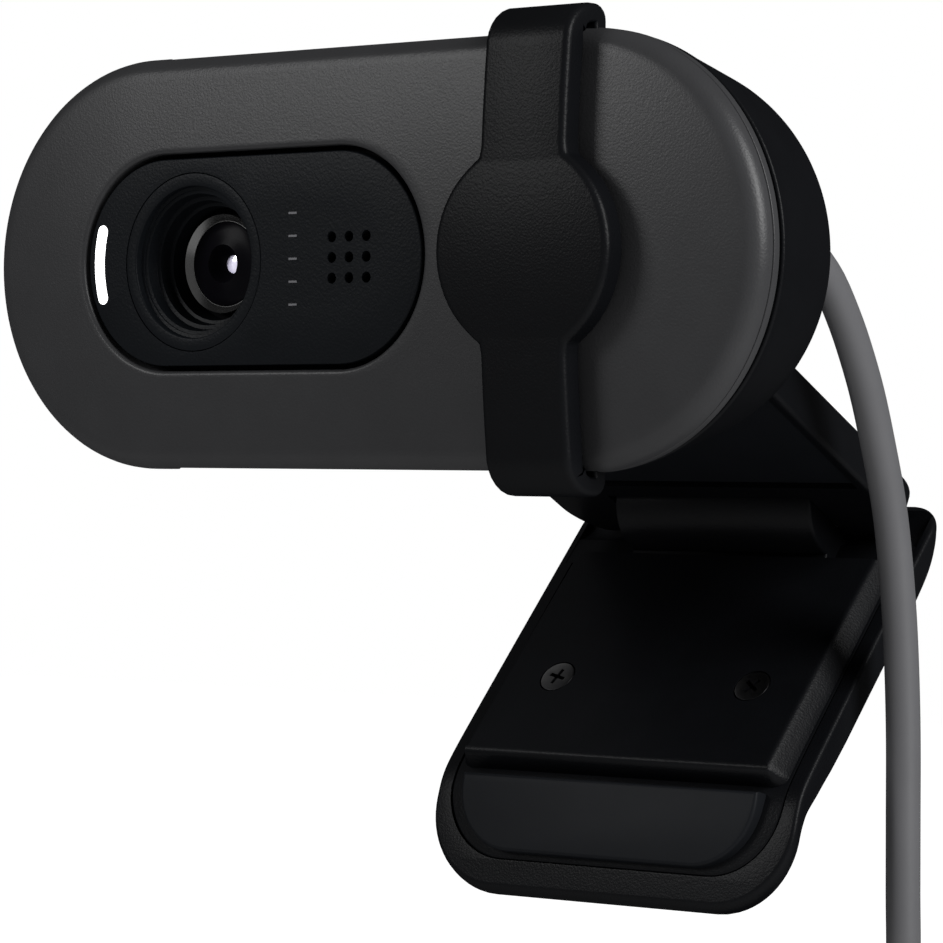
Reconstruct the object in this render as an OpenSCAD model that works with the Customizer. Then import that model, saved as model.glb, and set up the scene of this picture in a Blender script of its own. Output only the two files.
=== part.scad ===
// Webcam on a folding monitor clip.
// A flat capsule-shaped head tilts on a sloping arm, a privacy shutter slides along the head,
// and a hinged foot closes against the back of the screen that the arm sits on.
// Frame: +X to the right seen from the front, -Y to the front, +Z up.
// The origin is the middle of the seat, the pad under the arm that rests on the screen's top edge.

/* [Head] */
// Width of the head
head_w = 73.2; // [70:0.2:78]
// Height of the head
head_h = 32; // [30:0.2:34]
// Depth of the head from its front to the flat of its back
head_depth = 18.9; // [18.4:0.1:21]
// Radius of the gently crowned front face
crown_r = 135; // [110:5:220]
// Radius of the front shell's outer edge
front_fillet = 1.7; // [1.2:0.1:1.9]
// Depth of the front shell
front_depth = 2.5; // [2.3:0.1:2.8]
// Wall of the front shell's face
front_wall = 1.3; // [1:0.1:1.5]
// Wall of the front shell's side
side_wall = 1.6; // [1.2:0.1:2]
// Depth of the visible ring behind the front shell
ring_depth = 0.95; // [0.7:0.05:1.3]
// Width of the fine line between front shell and ring
seam = 0.15; // [0.1:0.05:0.2]
// Open gap between the ring and the rear shell
rear_gap = 0.55; // [0.4:0.05:0.7]
// Wall of the rear shell
rear_wall = 1.7; // [1.4:0.1:2]
// Slope of the rear shell's side
rear_draft = 12; // [8:1:14]
// Radius between the rear shell's side and back
rear_fillet = 9; // [7:0.5:10]

/* [Window] */
// Sideways place of the dark window's middle
window_x = -9.3; // [-10:0.1:-8.6]
// Half of the straight part of the window
window_half = 8.6; // [8.2:0.1:9.2]
// Radius of the window's round ends
window_r = 8.4; // [8:0.1:9]
// Gap all round the window panel
window_gap = 0.4; // [0.2:0.05:0.5]
// Depth of the window panel below the front
window_recess = 0.35; // [0.3:0.05:0.5]
// Thickness of the window panel
window_t = 1.2; // [1:0.1:1.4]

/* [Lens] */
// Sideways place of the lens
lens_x = -15.1; // [-15.4:0.1:-14.8]
// Radius of the fine ring round the lens
bezel_r = 6.85; // [6.6:0.05:7]
// Radius of the opening in that ring
mouth_r = 5.85; // [5.6:0.05:6]
// Radius of the lens barrel
barrel_r = 3.9; // [3.6:0.05:4]
// Depth of the barrel's front rim below the front
barrel_y = 3.8; // [3.7:0.1:4.2]
// Radius of the front glass
glass_r = 3.3; // [3:0.05:3.4]
// Side of the square lens holder
holder_w = 11; // [10:0.5:12]

/* [Light] */
// Distance of the light slot from the lens axis
light_r = 9.7; // [9.5:0.05:9.8]
// Width of the light slot
light_w = 1.05; // [0.8:0.05:1.1]
// Half of the angle that the slot spans
light_angle = 15.5; // [13:0.5:18]

/* [Microphone] */
// Sideways place of the microphone holes
mic_x = 0.4; // [0:0.1:0.8]
// Sideways distance between the holes
mic_pitch_x = 1.66; // [1.5:0.02:1.8]
// Height between the holes
mic_pitch_z = 1.55; // [1.4:0.05:1.7]
// Radius of a hole
mic_r = 0.42; // [0.35:0.01:0.5]
// Holes in a row and in a column
mic_count = 3; // [2:1:3]

/* [Board] */
// Distance of the circuit board behind the front
board_y = 11.5; // [11:0.1:11.8]
// Thickness of the circuit board
board_t = 1; // [0.8:0.1:1.2]
// Radius of the board's round ends
board_r = 10.8; // [10:0.1:11]
// Radius of the board screws' shanks
screw_r = 0.8; // [0.6:0.05:0.9]
// Wall of the bosses that the board screws bite into
boss_wall = 1.2; // [1:0.1:1.4]

/* [Shutter] */
// Sideways place of the shutter when it is open
shutter_x = 18.1; // [17:0.1:18.4]
// Width of the shutter's strap
strap_w = 7.5; // [6.5:0.1:8]
// Radius of the shutter's disc
disc_r = 7.7; // [7.2:0.1:8.2]
// Thickness of the strap and the disc
strap_t = 2; // [1.6:0.1:2.2]
// Distance of the strap from the shell
strap_gap = 0.28; // [0.2:0.02:0.35]
// Thickness of the strap over the top and bottom of the head
bridge_t = 1.45; // [1.2:0.05:1.7]
// Outer radius of the strap's front corners
strap_corner = 3.2; // [2.6:0.1:3.6]
// Thickness of the teeth that hold the strap
tooth_t = 1.5; // [1.1:0.05:1.6]
// Depth of the teeth below the head's edge
tooth_reach = 0.8; // [0.6:0.05:0.9]
// Play of the teeth in their channels
tooth_play = 0.18; // [0.12:0.02:0.22]

/* [Tilt hinge] */
// Distance of the tilt axis behind the head
tilt_gap = 3.6; // [3.4:0.1:4.2]
// Height of the tilt axis below the head's middle
tilt_drop = 2.5; // [1.5:0.1:3.5]
// Radius of the hinge bosses
tilt_r = 3.1; // [2.7:0.1:3.2]
// Width of the head's middle boss
tilt_w = 14; // [12:0.5:16]
// Width of each of the arm's ears
ear_w = 4; // [3:0.5:5]
// Radius of the tilt pin
tilt_pin_r = 1.3; // [1.1:0.05:1.5]
// Thickness of the friction washers
washer_t = 0.5; // [0.4:0.05:0.7]
// Radial play of the hinge pins where they turn
pin_play = 0.05; // [0.02:0.01:0.08]

/* [Arm] */
// Slope of the arm down to the back
arm_slope = 28; // [24:1:32]
// Thickness of the arm
arm_t = 3.66; // [3.3:0.1:4]
// Distance from the tilt axis to the clip axis
arm_len = 35.7; // [34:0.1:38]
// Length of the arm behind the clip axis before its round end
arm_tail = 1.3; // [1.1:0.1:1.6]
// Radius of the arm's rear corners seen from above
arm_corner = 5; // [2:0.5:5.5]
// Thickness of the front lip
lip_t = 2; // [1.6:0.1:2.4]
// Drop of the lip below the arm
lip_drop = 6; // [4.5:0.25:6.5]
// Width of the front lip
lip_w = 30; // [26:0.5:31]
// Thickness of the lip's rubber strip
lip_pad_t = 0.8; // [0.6:0.1:1.2]
// Distance from the seat's end to the clip axis
seat_end = 6.7; // [6.3:0.1:8.5]
// Height of the arm's rim round the seat pad
seat_rim = 0.35; // [0.2:0.05:0.5]
// Thickness of the seat pad
seat_t = 0.6; // [0.5:0.05:0.8]

/* [Clip hinge] */
// Radius of the foot's middle knuckle
knuckle_r = 4.5; // [4.2:0.1:4.6]
// Width of the foot's middle knuckle
knuckle_w = 19.86; // [18:0.1:21]
// Radius of the clip pin
clip_pin_r = 1; // [0.8:0.05:1.1]
// Gap beside the knuckle, which a washer fills
clip_gap = 0.3; // [0.25:0.05:0.5]

/* [Foot] */
// Slope of the foot down to the front
foot_slope = 45; // [40:1:50]
// Width of the foot
foot_w = 35.8; // [35.6:0.1:38]
// Thickness of the foot's sides, which stand beside the arm
cheek_t = 0.65; // [0.55:0.05:0.9]
// Distance from the clip axis to the bend
foot_len = 29.3; // [28:0.1:32]
// Length of the foot beyond the bend
tip_len = 9.3; // [9:0.1:10.5]
// Angle by which the tip bends back
tip_angle = 30; // [24:1:34]
// Distance of the foot's rim behind the clip axis
rim_drop = 2.7; // [2.5:0.1:3]
// Thickness of the foot's body behind its rim
foot_t = 2.9; // [2.7:0.1:3.4]
// Thickness of the foot's body at its tip
tip_t = 2.5; // [2.3:0.1:3.4]
// Radius of the edges round the foot's back
foot_edge = 1.5; // [1:0.1:1.7]
// Radius of the edges round the tip's back
tip_edge = 1.9; // [1.8:0.1:2.2]
// Reach of the foot's sides past the clip axis
heel = 0.9; // [0.5:0.1:1.4]
// Height of the ears beside the arm's end, above the foot's rim
heel_ear = 3.4; // [1:0.1:4]
// Height of the plateau above the rim
plateau_h = 1.6; // [1.2:0.1:1.8]
// Width of the plateau
plateau_w = 30.2; // [28:0.2:30.6]
// Wall of the foot's shell
foot_wall = 1.1; // [0.9:0.1:1.3]
// Radius of the foot's corners at its tip
tip_corner = 7; // [5:0.5:8]
// Distance of the foot's screws from the clip axis
foot_screw_s = 19.5; // [17:0.5:22]
// Distance of the foot's screws from the middle
foot_screw_x = 9.8; // [8:0.1:11]
// Radius of the foot's screw heads
foot_head_r = 1.3; // [1.1:0.05:1.5]
// Radius of the foot's screw shanks
foot_screw_r = 0.6; // [0.5:0.05:0.7]
// Thickness of the rubber pad at the tip
pad_t = 1; // [0.6:0.1:1.4]
// Width of the rubber pad
pad_w = 29.4; // [26:0.2:30.4]
// Height of the rubber pad
pad_h = 6.4; // [5.4:0.1:6.6]

/* [Cable] */
// Diameter of the cable
cable_d = 2.8; // [2.6:0.1:3]
// Sideways place where the cable leaves the head
relief_x = 20.5; // [18:0.1:21]
// Length of the strain relief behind the head
relief_len = 6.1; // [5:0.1:7]
// Centreline radius of the coil's outermost turn
coil_r = 20.6; // [18:0.1:22]
// Turns that lie side by side across the coil
coil_rows = 3.56; // [3:0.01:4]
// Layers of turns through the coil
coil_layers = 4; // [3:1:5]
// Width of the cable tie
tie_w = 6; // [4:0.5:8]
// Width of the plug's grip
plug_w = 11.6; // [10:0.2:13]
// Thickness of the plug's grip
plug_t = 6.6; // [6:0.2:8]
// Length of the plug's grip
plug_len = 21; // [16:0.5:26]

/* [Hidden] */
$fn = 64;

eps = 0.01;
cut = 1;

// Colours of the finished object
graphite = "#3c3c3e";
black = "#1d1d1f";
deep_black = "#101012";
steel = "#9a9a9e";
rubber = "#2a2b2d";
grey_cable = "#5c5c5e";

// Places of the two hinges and of the head, from the middle of the seat
side_play = 0.25;
arm_w = foot_w - 2 * (cheek_t + side_play);
lip_a = tilt_r + 0.5;
seat_len = arm_len - seat_end - lip_a - lip_t - lip_pad_t;
seat_a = lip_a + lip_t + lip_pad_t + seat_len / 2;
seat_b = -arm_t / 2 + seat_rim;
tilt_y = -seat_a * cos(arm_slope) - seat_b * sin(arm_slope);
tilt_z = seat_a * sin(arm_slope) - seat_b * cos(arm_slope);
clip_y = tilt_y + arm_len * cos(arm_slope);
clip_z = tilt_z - arm_len * sin(arm_slope);
head_y = tilt_y - head_depth - tilt_gap;
head_z = tilt_z + tilt_drop;

// Head
half = head_w / 2 - head_h / 2;
end_r = head_h / 2;
ring_y = front_depth;
ring_back = front_depth + ring_depth;
rear_y = ring_back + rear_gap;
skirt_y = rear_y + 1.5;
fillet_y = head_depth - rear_fillet;
fillet_r = rear_side(fillet_y) - rear_fillet / cos(rear_draft);
skirt_r = rear_side(skirt_y) - rear_wall + 0.3;
tooth_y = front_depth - 0.45;
channel_z = end_r - tooth_reach - tooth_play;
board_back = board_y + board_t;
boss_r = screw_r + boss_wall;
screw_x = window_half + window_r - window_x + boss_r + 0.2;
board_half = screw_x + boss_r + 0.2 - board_r;
shutter_travel = shutter_x - lens_x;
ear_in = tilt_w / 2 + washer_t;
knuckle_cut = knuckle_r + 0.3;
ear_x = knuckle_w / 2 + clip_gap;

// Foot
rim_z = rim_drop;
top_z = rim_drop - plateau_h;
back_z = rim_drop + foot_t;
end_clear = arm_tail + arm_t / 2 + 0.3;
plate_s = knuckle_r + 0.35;
plate_t = 1.2;
plate_edge = 1.4;
plate_end = 2.3;
heel_t = 0.3;
heel_len = 8;
pin_end = 1.5;
neck_z = top_z + 0.2;

// Cable: its route from the strain relief to the coil, and the coil's middle
relief_z = 3.4;
relief_end = head_depth + relief_len;
relief_tip = [relief_x, head_y + relief_end, head_z + relief_z];
route = concat([relief_tip, relief_tip + [0, 1, 0]], [
    [20.8, -9.4, 15], [21.2, -7.6, 13.9], [21.6, -5.9, 12.5], [21.9, -4.2, 10.8],
    [22, -2.5, 8.6], [22, -0.7, 6], [22, 1.4, 2.2], [22, 3.2, -2.2], [22, 4.8, -6.8],
    [22, 5.8, -11.4], [22, 6.5, -16.2], [22, 6.9, -21], [22, 7.1, -26], [22, 7.1, -32],
    [22, 7.1, -38], [22, 7.1, -44], [21.3, 7.1, -47.6], [19.4, 7.1, -50.4],
    [16.6, 7.1, -52.3], [13, 7.1, -53]
]);
coil_pitch = cable_d * 1.02;
coil_top = route[len(route) - 1];
coil_x = coil_top[0];
coil_z = coil_top[2] - coil_r;
coil_in = coil_r - coil_rows * coil_pitch;
coil_t = (coil_layers - 1) * coil_pitch + cable_d;
coil_y = coil_top[1] - cable_d / 2 + coil_t / 2;
tail_x = coil_x - coil_r;
tail_y = coil_y + coil_t / 2 - cable_d / 2;
tail_len = 11;
plug_top = coil_z - tail_len;
plug_relief = 7;
plug_shell_len = 12.6;
plug_shell_w = 12;
plug_shell_t = 4.5;
plug_skin = 0.35;

// Radius of the rear shell's side at a distance y behind the front
function rear_side(y) = end_r - 0.1 - (y - rear_y) * tan(rear_draft);

// Sag of the crowned front face at a distance r from its middle line
function sag(r) = crown_r - sqrt(crown_r * crown_r - r * r);

// Points of an arc round [x, y] from angle a to angle b
function arc(x, y, r, a, b, n) = [
    for (i = [0:n]) let (t = a + (b - a) * i / n) [x + r * cos(t), y + r * sin(t)]
];

// Points along the crown from r0 to r1, moved back by dy
function crown(r0, r1, dy, n) = [
    for (i = [0:n]) let (r = r0 + (r1 - r0) * i / n) [r, sag(r) + dy]
];

function unit(v) = v / norm(v);

// Direction of travel at a point of a route
function heading(p, i) = unit(p[min(i + 1, len(p) - 1)] - p[max(i - 1, 0)]);

// One ring of a swept tube
function ring(p, i, r, sides) =
    let (t = heading(p, i), n = unit([1, 0, 0] - t[0] * t), b = cross(t, n))
    [for (k = [0:sides - 1]) p[i] + r * (cos(k * 360 / sides) * n + sin(k * 360 / sides) * b)];

module head_frame() {
    translate([0, head_y, head_z]) children();
}

// Local Y runs along the arm to the back, local Z is its upper side
module arm_frame() {
    translate([0, tilt_y, tilt_z]) rotate([-arm_slope, 0, 0]) children();
}

// Local Y runs along the foot to its tip, local Z points away from the screen
module foot_frame() {
    translate([0, clip_y, clip_z]) rotate([180 + foot_slope, 0, 0]) children();
}

// The foot's bent tip, in the foot's frame
module tip_frame() {
    translate([0, foot_len, rim_z]) rotate([tip_angle, 0, 0]) children();
}

// Turns what stands along Z so that it points to the back
module to_back() {
    rotate([-90, 0, 0]) children();
}

// A round bar along X
module bar(r, x0, x1) {
    translate([x0, 0, 0]) rotate([0, 90, 0]) cylinder(r = r, h = x1 - x0);
}

// An outline in Y and Z, extruded to both sides along X
module prism(points, w) {
    rotate([90, 0, 90]) translate([0, 0, -w / 2]) linear_extrude(w) polygon(points);
}

module stadium(hl, r) {
    square([2 * hl, 2 * r], center = true);
    for (s = [-1, 1]) translate([s * hl, 0]) circle(r);
}

// A stadium-shaped slab from y0 to y1
module slab(hl, r, y0, y1) {
    translate([0, y0, 0]) to_back() linear_extrude(y1 - y0) stadium(hl, r);
}

// A profile of [distance from the middle line, depth] carried round the head's stadium outline
module lozenge(points) {
    rotate([0, 90, 0]) linear_extrude(2 * half, center = true) {
        polygon(points);
        mirror([1, 0]) polygon(points);
    }
    for (s = [0, 1]) mirror([s, 0, 0]) translate([half, 0, 0]) to_back() rotate([0, 0, -90])
        rotate_extrude(angle = 180) polygon(points);
}

// A solid of revolution round the lens axis, from [radius, depth] points
module lens_turned(points) {
    translate([lens_x, 0, 0]) to_back() rotate_extrude() polygon(points);
}

// The room that the shutter's teeth slide in, above and below the head
module tooth_channels() {
    left = lens_x - strap_w / 2 - tooth_play;
    right = shutter_x + strap_w / 2 + tooth_play;
    for (s = [0, 1]) mirror([0, 0, s])
        translate([left, tooth_y - tooth_play, channel_z])
            cube([right - left, tooth_t + 2 * tooth_play, end_r]);
}

// A rectangle with round corners, round the middle
module round_rect(w, h, r) {
    square([w, h - 2 * r], center = true);
    square([w - 2 * r, h], center = true);
    for (x = [-1, 1], y = [-1, 1])
        translate([x * (w / 2 - r), y * (h / 2 - r)]) circle(r);
}

// ---- Head ----

module front_shell() color(graphite) head_frame() difference() {
    union() {
        lozenge(concat(
            crown(0, end_r - front_fillet, 0, 8),
            arc(end_r - front_fillet, sag(end_r - front_fillet) + front_fillet, front_fillet,
                -80, 0, 6),
            [[end_r, front_depth], [end_r - side_wall, front_depth]],
            crown(end_r - side_wall, 0, front_wall, 4)
        ));
        for (s = [-1, 1]) translate([s * screw_x, front_wall, 0]) to_back()
            cylinder(r = boss_r, h = board_y - front_wall);
    }
    translate([window_x, 0, 0]) slab(window_half, window_r, -cut, front_depth + cut);
    for (s = [-1, 1]) translate([s * screw_x, board_y - 5, 0]) to_back()
        cylinder(r = screw_r, h = 5 + cut);
    tooth_channels();
}

module mid_ring() color(graphite) head_frame() difference() {
    lozenge([
        [skirt_r - 1.1, ring_y], [end_r - 0.3, ring_y], [end_r - 0.3, ring_y + seam],
        [end_r, ring_y + seam], [end_r, ring_back - 0.2], [end_r - 0.2, ring_back],
        [skirt_r, ring_back], [skirt_r, skirt_y], [skirt_r - 1.1, skirt_y]
    ]);
    tooth_channels();
}

module rear_shell() color(black) head_frame() difference() {
    union() {
        lozenge(concat(
            [[end_r - 0.1, rear_y]],
            arc(fillet_r, fillet_y, rear_fillet, rear_draft, 90, 10),
            [[0, head_depth], [0, head_depth - rear_wall]],
            arc(fillet_r, fillet_y, rear_fillet - rear_wall, 90, rear_draft, 8),
            [[skirt_r - 0.3, skirt_y], [skirt_r, skirt_y], [skirt_r, rear_y]]
        ));
        translate([0, head_depth + tilt_gap, -tilt_drop]) {
            bar(tilt_r, -tilt_w / 2, tilt_w / 2);
            translate([-tilt_w / 2, -tilt_gap - rear_wall / 2, -tilt_r])
                cube([tilt_w, tilt_gap + rear_wall / 2, 2 * tilt_r]);
        }
    }
    translate([0, head_depth + tilt_gap, -tilt_drop])
        bar(tilt_pin_r + pin_play, -tilt_w / 2 - cut, tilt_w / 2 + cut);
    translate([relief_x, head_depth - rear_wall - cut, relief_z]) to_back()
        cylinder(r = cable_d / 2 + 0.8, h = rear_wall + 2 * cut);
}

module window_panel() color(deep_black) head_frame() difference() {
    translate([window_x, 0, 0])
        slab(window_half, window_r - window_gap, window_recess, window_recess + window_t);
    translate([lens_x, 0, 0]) to_back() cylinder(r = bezel_r, h = 9);
    light_slot(0.05, 0, 9);
    for (i = [0:mic_count - 1], j = [0:mic_count - 1])
        translate([mic_x + (i - (mic_count - 1) / 2) * mic_pitch_x, 0,
            (j - (mic_count - 1) / 2) * mic_pitch_z])
            to_back() cylinder(r = mic_r, h = 9, $fn = 16);
}

// The curved light slot's outline as a solid, grown by g, from y0 to y1
module light_slot(g, y0, y1) {
    w = light_w / 2 + g;
    translate([lens_x, y0, 0]) to_back() linear_extrude(y1 - y0) {
        intersection() {
            difference() {
                circle(light_r + w);
                circle(light_r - w);
            }
            polygon([
                [0, 0], [-2 * light_r, 2 * light_r * tan(light_angle)],
                [-2 * light_r, -2 * light_r * tan(light_angle)]
            ]);
        }
        for (s = [-1, 1]) rotate(180 + s * light_angle) translate([light_r, 0]) circle(w);
    }
}

module light_pipe() color("white") head_frame() {
    light_slot(0, window_recess - 0.05, window_recess + window_t);
    translate([lens_x - light_r, window_recess + window_t, -1.5])
        translate([-light_w / 2, 0, 0])
            cube([light_w, board_y - 0.8 - window_recess - window_t, 3]);
}

module lens_bezel() color(deep_black) head_frame() lens_turned([
    [mouth_r, window_recess - 0.1], [bezel_r - 0.06, window_recess - 0.1],
    [bezel_r - 0.06, window_recess + window_t], [bezel_r + 0.6, window_recess + window_t],
    [bezel_r + 0.6, window_recess + window_t + 0.7], [mouth_r, window_recess + window_t + 0.7],
    [mouth_r - 0.4, barrel_y], [barrel_r + 0.5, barrel_y],
    [barrel_r + 0.9, barrel_y - 1.7], [barrel_r + 1.2, barrel_y - 1.8],
    [barrel_r + 1.5, barrel_y - 2.7], [mouth_r - 0.25, barrel_y - 2.8]
]);

module lens_barrel() color(black) head_frame() lens_turned([
    [glass_r + 0.3, barrel_y], [barrel_r, barrel_y], [barrel_r, barrel_y + 5.5],
    [1.2, barrel_y + 5.5], [1.2, barrel_y + 4.6], [2.4, barrel_y + 3.4], [1.5, barrel_y + 2.4],
    [1.5, barrel_y + 1.9], [glass_r, barrel_y + 1.9], [glass_r, barrel_y + 0.4]
]);

module front_glass() color("#2b2d3a") head_frame() lens_turned(concat(
    [[0, barrel_y + 1.9], [0, barrel_y + 0.4]],
    [for (i = [1:8]) let (r = glass_r * i / 8) [r, barrel_y + 0.4 + r * r * 0.05]],
    [[glass_r, barrel_y + 1.9]]
));

module inner_glass() color("#3a3550") head_frame() lens_turned(concat(
    [[0, barrel_y + 3.4]],
    [for (i = [1:6]) let (r = 2.4 * i / 6) [r, barrel_y + 3.4]],
    [[1.2, barrel_y + 4.6], [0, barrel_y + 4.6]]
));

module lens_holder() color(deep_black) head_frame() difference() {
    translate([lens_x, 0, 0]) union() {
        translate([-holder_w / 2, board_y - 3.2, -holder_w / 2]) cube([holder_w, 3.2, holder_w]);
        translate([0, barrel_y + 1.2, 0]) to_back()
            cylinder(r = barrel_r + 0.9, h = board_y - barrel_y - 1.2);
    }
    translate([lens_x, 0, 0]) {
        to_back() cylinder(r = barrel_r, h = barrel_y + 5.5);
        translate([0, barrel_y + 5, 0]) to_back() cylinder(r = barrel_r - 0.6, h = 9);
    }
}

module image_sensor() color("#403a5a") head_frame()
    translate([lens_x - 2.6, board_y - 0.9, -2]) cube([5.2, 0.9, 4]);

module main_board() color("#1f4a2c") head_frame() difference() {
    slab(board_half, board_r, board_y, board_back);
    for (s = [-1, 1]) translate([s * screw_x, board_y - cut, 0]) to_back()
        cylinder(r = screw_r + 0.1, h = board_t + 2 * cut);
}

module status_led() color("#f5f5e8") head_frame()
    translate([lens_x - light_r - 0.5, board_y - 0.8, -0.8]) cube([1, 0.8, 1.6]);

module microphone() color(steel) head_frame()
    translate([mic_x - 1.9, board_y - 1.1, -1.5]) cube([3.8, 1.1, 3]);

module cable_socket() color("#e8e4d8") head_frame() difference() {
    translate([9, board_back, -3]) cube([7, 3, 6]);
    translate([9.6, board_back + 0.6, -2.4]) cube([7, 1.8, 4.8]);
}

module board_screw(s) color(steel) head_frame() translate([s * screw_x, 0, 0]) {
    translate([0, board_y - 4, 0]) to_back() cylinder(r = screw_r, h = 4 + board_t + eps);
    translate([0, board_back, 0]) to_back() cylinder(r = screw_r + 0.7, h = 0.9);
}

module board_screw_left() board_screw(-1);

module board_screw_right() board_screw(1);

module strain_relief() color(rubber) head_frame() translate([relief_x, 0, relief_z]) to_back()
    rotate_extrude() polygon([
        [0, head_depth - rear_wall - 0.8], [cable_d / 2 + 1.6, head_depth - rear_wall - 0.8],
        [cable_d / 2 + 1.6, head_depth - rear_wall], [cable_d / 2 + 0.72, head_depth - rear_wall],
        [cable_d / 2 + 0.72, head_depth], [cable_d / 2 + 1.3, head_depth],
        [cable_d / 2 + 1.3, head_depth + 1], [cable_d / 2 + 0.45, relief_end], [0, relief_end]
    ]);

// The shutter's outline seen from the side: a strap round the front, with a tooth at each end
function strap_half() =
    let (
        z1 = end_r + strap_gap + bridge_t,
        y1 = tooth_y + tooth_t,
        yf = sag(z1 - strap_corner) - strap_gap - strap_t
    )
    concat(
        [for (p = crown(0, z1 - strap_corner, -strap_gap - strap_t, 6)) [p[1], p[0]]],
        arc(yf + strap_corner, z1 - strap_corner, strap_corner, 170, 90, 7),
        arc(y1 - 1.1, z1 - 1.1, 1.1, 80, 0, 5),
        [
            [y1, end_r - tooth_reach], [tooth_y, end_r - tooth_reach],
            [tooth_y, end_r + strap_gap], [sag(end_r) - strap_gap + 0.5, end_r + strap_gap],
            [sag(end_r - 1) - strap_gap, end_r - 0.8]
        ],
        [for (p = crown(end_r - 1.5, 0, -strap_gap, 6)) [p[1], p[0]]]
    );

module shutter() color(black) head_frame() translate([shutter_x, 0, 0]) {
    for (s = [0, 1]) mirror([0, 0, s]) prism(strap_half(), strap_w);
    intersection() {
        for (s = [0, 1]) mirror([0, 0, s]) prism(strap_half(), 2 * disc_r + 1);
        translate([0, -5, 0]) to_back() cylinder(r = disc_r, h = 5 + sag(disc_r));
    }
}

// ---- Arm ----

module arm() color(black) arm_frame() difference() {
    union() {
        intersection() {
            prism(concat(
                [[lip_a, -arm_t / 2]],
                arc(arm_len + arm_tail, 0, arm_t / 2, -90, 90, 12),
                [[lip_a, arm_t / 2]]
            ), arm_w);
            translate([0, 0, -arm_t]) linear_extrude(2 * arm_t) arm_outline();
        }
        for (s = [0, 1]) mirror([s, 0, 0]) {
            bar(tilt_r, ear_in, ear_in + ear_w);
            translate([ear_in, 0, -arm_t / 2]) cube([ear_w, lip_a + 1, arm_t]);
        }
        translate([0, lip_a, 0]) rotate([-90, 0, 0]) linear_extrude(lip_t)
            translate([0, lip_drop / 2]) round_rect(lip_w, lip_drop + arm_t, 1.5);
    }
    bar(tilt_pin_r, -arm_w, arm_w);
    translate([0, arm_len, 0]) bar(clip_pin_r, -arm_w / 2 + pin_end, arm_w / 2 - pin_end);
    translate([-ear_x, arm_len - knuckle_cut, -arm_t])
        cube([2 * ear_x, knuckle_cut + arm_t + arm_tail + cut, 2 * arm_t]);
    translate([-arm_w / 2 + 1, lip_a + lip_t, -arm_t / 2 - cut])
        cube([arm_w - 2, lip_pad_t + seat_len, cut + seat_rim + seat_t]);
}

// The arm seen from above
module arm_outline() {
    y1 = arm_len + arm_tail + arm_t / 2;
    w = arm_w / 2;
    translate([-w, lip_a]) square([arm_w, y1 - arm_corner - lip_a]);
    translate([-w + arm_corner, y1 - arm_corner]) square([arm_w - 2 * arm_corner, arm_corner]);
    for (s = [-1, 1]) translate([s * (w - arm_corner), y1 - arm_corner]) circle(arm_corner);
}

module seat_pad() color(rubber) arm_frame()
    translate([-arm_w / 2 + 1.2, lip_a + lip_t + lip_pad_t, seat_b])
        cube([arm_w - 2.4, seat_len - 0.2, seat_t]);

module lip_pad() color(rubber) arm_frame()
    translate([-lip_w / 2 + 2, lip_a + lip_t, -arm_t / 2 - lip_drop + 1.2])
        cube([lip_w - 4, lip_pad_t, lip_drop - 1.2]);

module tilt_pin() color(steel) arm_frame()
    bar(tilt_pin_r, -ear_in - ear_w, ear_in + ear_w);

module tilt_washer(s) color(steel) arm_frame() mirror([s, 0, 0]) difference() {
    bar(tilt_r - 0.4, tilt_w / 2 + 0.05, ear_in);
    bar(tilt_pin_r, 0, arm_w);
}

module tilt_washer_left() tilt_washer(1);

module tilt_washer_right() tilt_washer(0);

module clip_pin() color(steel) arm_frame() translate([0, arm_len, 0])
    bar(clip_pin_r, -arm_w / 2 + pin_end, arm_w / 2 - pin_end);

module clip_washer(s) color(steel) arm_frame() mirror([s, 0, 0]) translate([0, arm_len, 0])
    difference() {
        bar(arm_t / 2, knuckle_w / 2 + 0.05, ear_x);
        bar(clip_pin_r, 0, arm_w);
    }

module clip_washer_left() clip_washer(1);

module clip_washer_right() clip_washer(0);

// ---- Foot ----

// The foot's outline in its tip's frame: g inside the shell's sides, e inside its end
module tip_outline(g, e) {
    w = foot_w / 2 - g;
    r = tip_corner - g / 2;
    translate([-w, -foot_len]) square([2 * w, foot_len + tip_len - e - r]);
    translate([-w + r, 0]) square([2 * w - 2 * r, tip_len - e]);
    for (s = [-1, 1]) translate([s * (w - r), tip_len - e - r]) circle(r);
}

// A side outline that follows the bend, between the depths z0 and z1 behind the rim (z1 and t1
// at the tip), closed at its hinge end by the points in heel_points
function bent(heel_points, z0, z1, t1) =
    let (c = cos(tip_angle), s = sin(tip_angle), k = tan(tip_angle / 2))
    concat(
        [
            [foot_len - z0 * k, rim_z + z0],
            [foot_len + tip_len * c - z0 * s, rim_z + tip_len * s + z0 * c],
            [foot_len + tip_len * c - t1 * s, rim_z + tip_len * s + t1 * c],
            [foot_len - z1 * k, rim_z + z1]
        ],
        heel_points
    );

// The bent slab that the shell and the plate are cut from, with the shell's edges and corners
module foot_body(side, g, e) {
    intersection() {
        prism(side, foot_w - 2 * g);
        union() {
            tip_frame() translate([0, 0, -8]) linear_extrude(16) tip_outline(g, e);
            translate([-foot_w / 2, -foot_len, -2]) cube([foot_w, 2 * foot_len - 2, 20]);
        }
        union() {
            rotate([-90, 0, 0]) translate([0, 10 - back_z, -5]) linear_extrude(foot_len + 6)
                round_rect(foot_w - 2 * g, 20, foot_edge);
            tip_frame() rotate([-90, 0, 0]) translate([0, 10 - tip_t, 0])
                linear_extrude(tip_len) round_rect(foot_w - 2 * g, 20, tip_edge);
        }
    }
}

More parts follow.
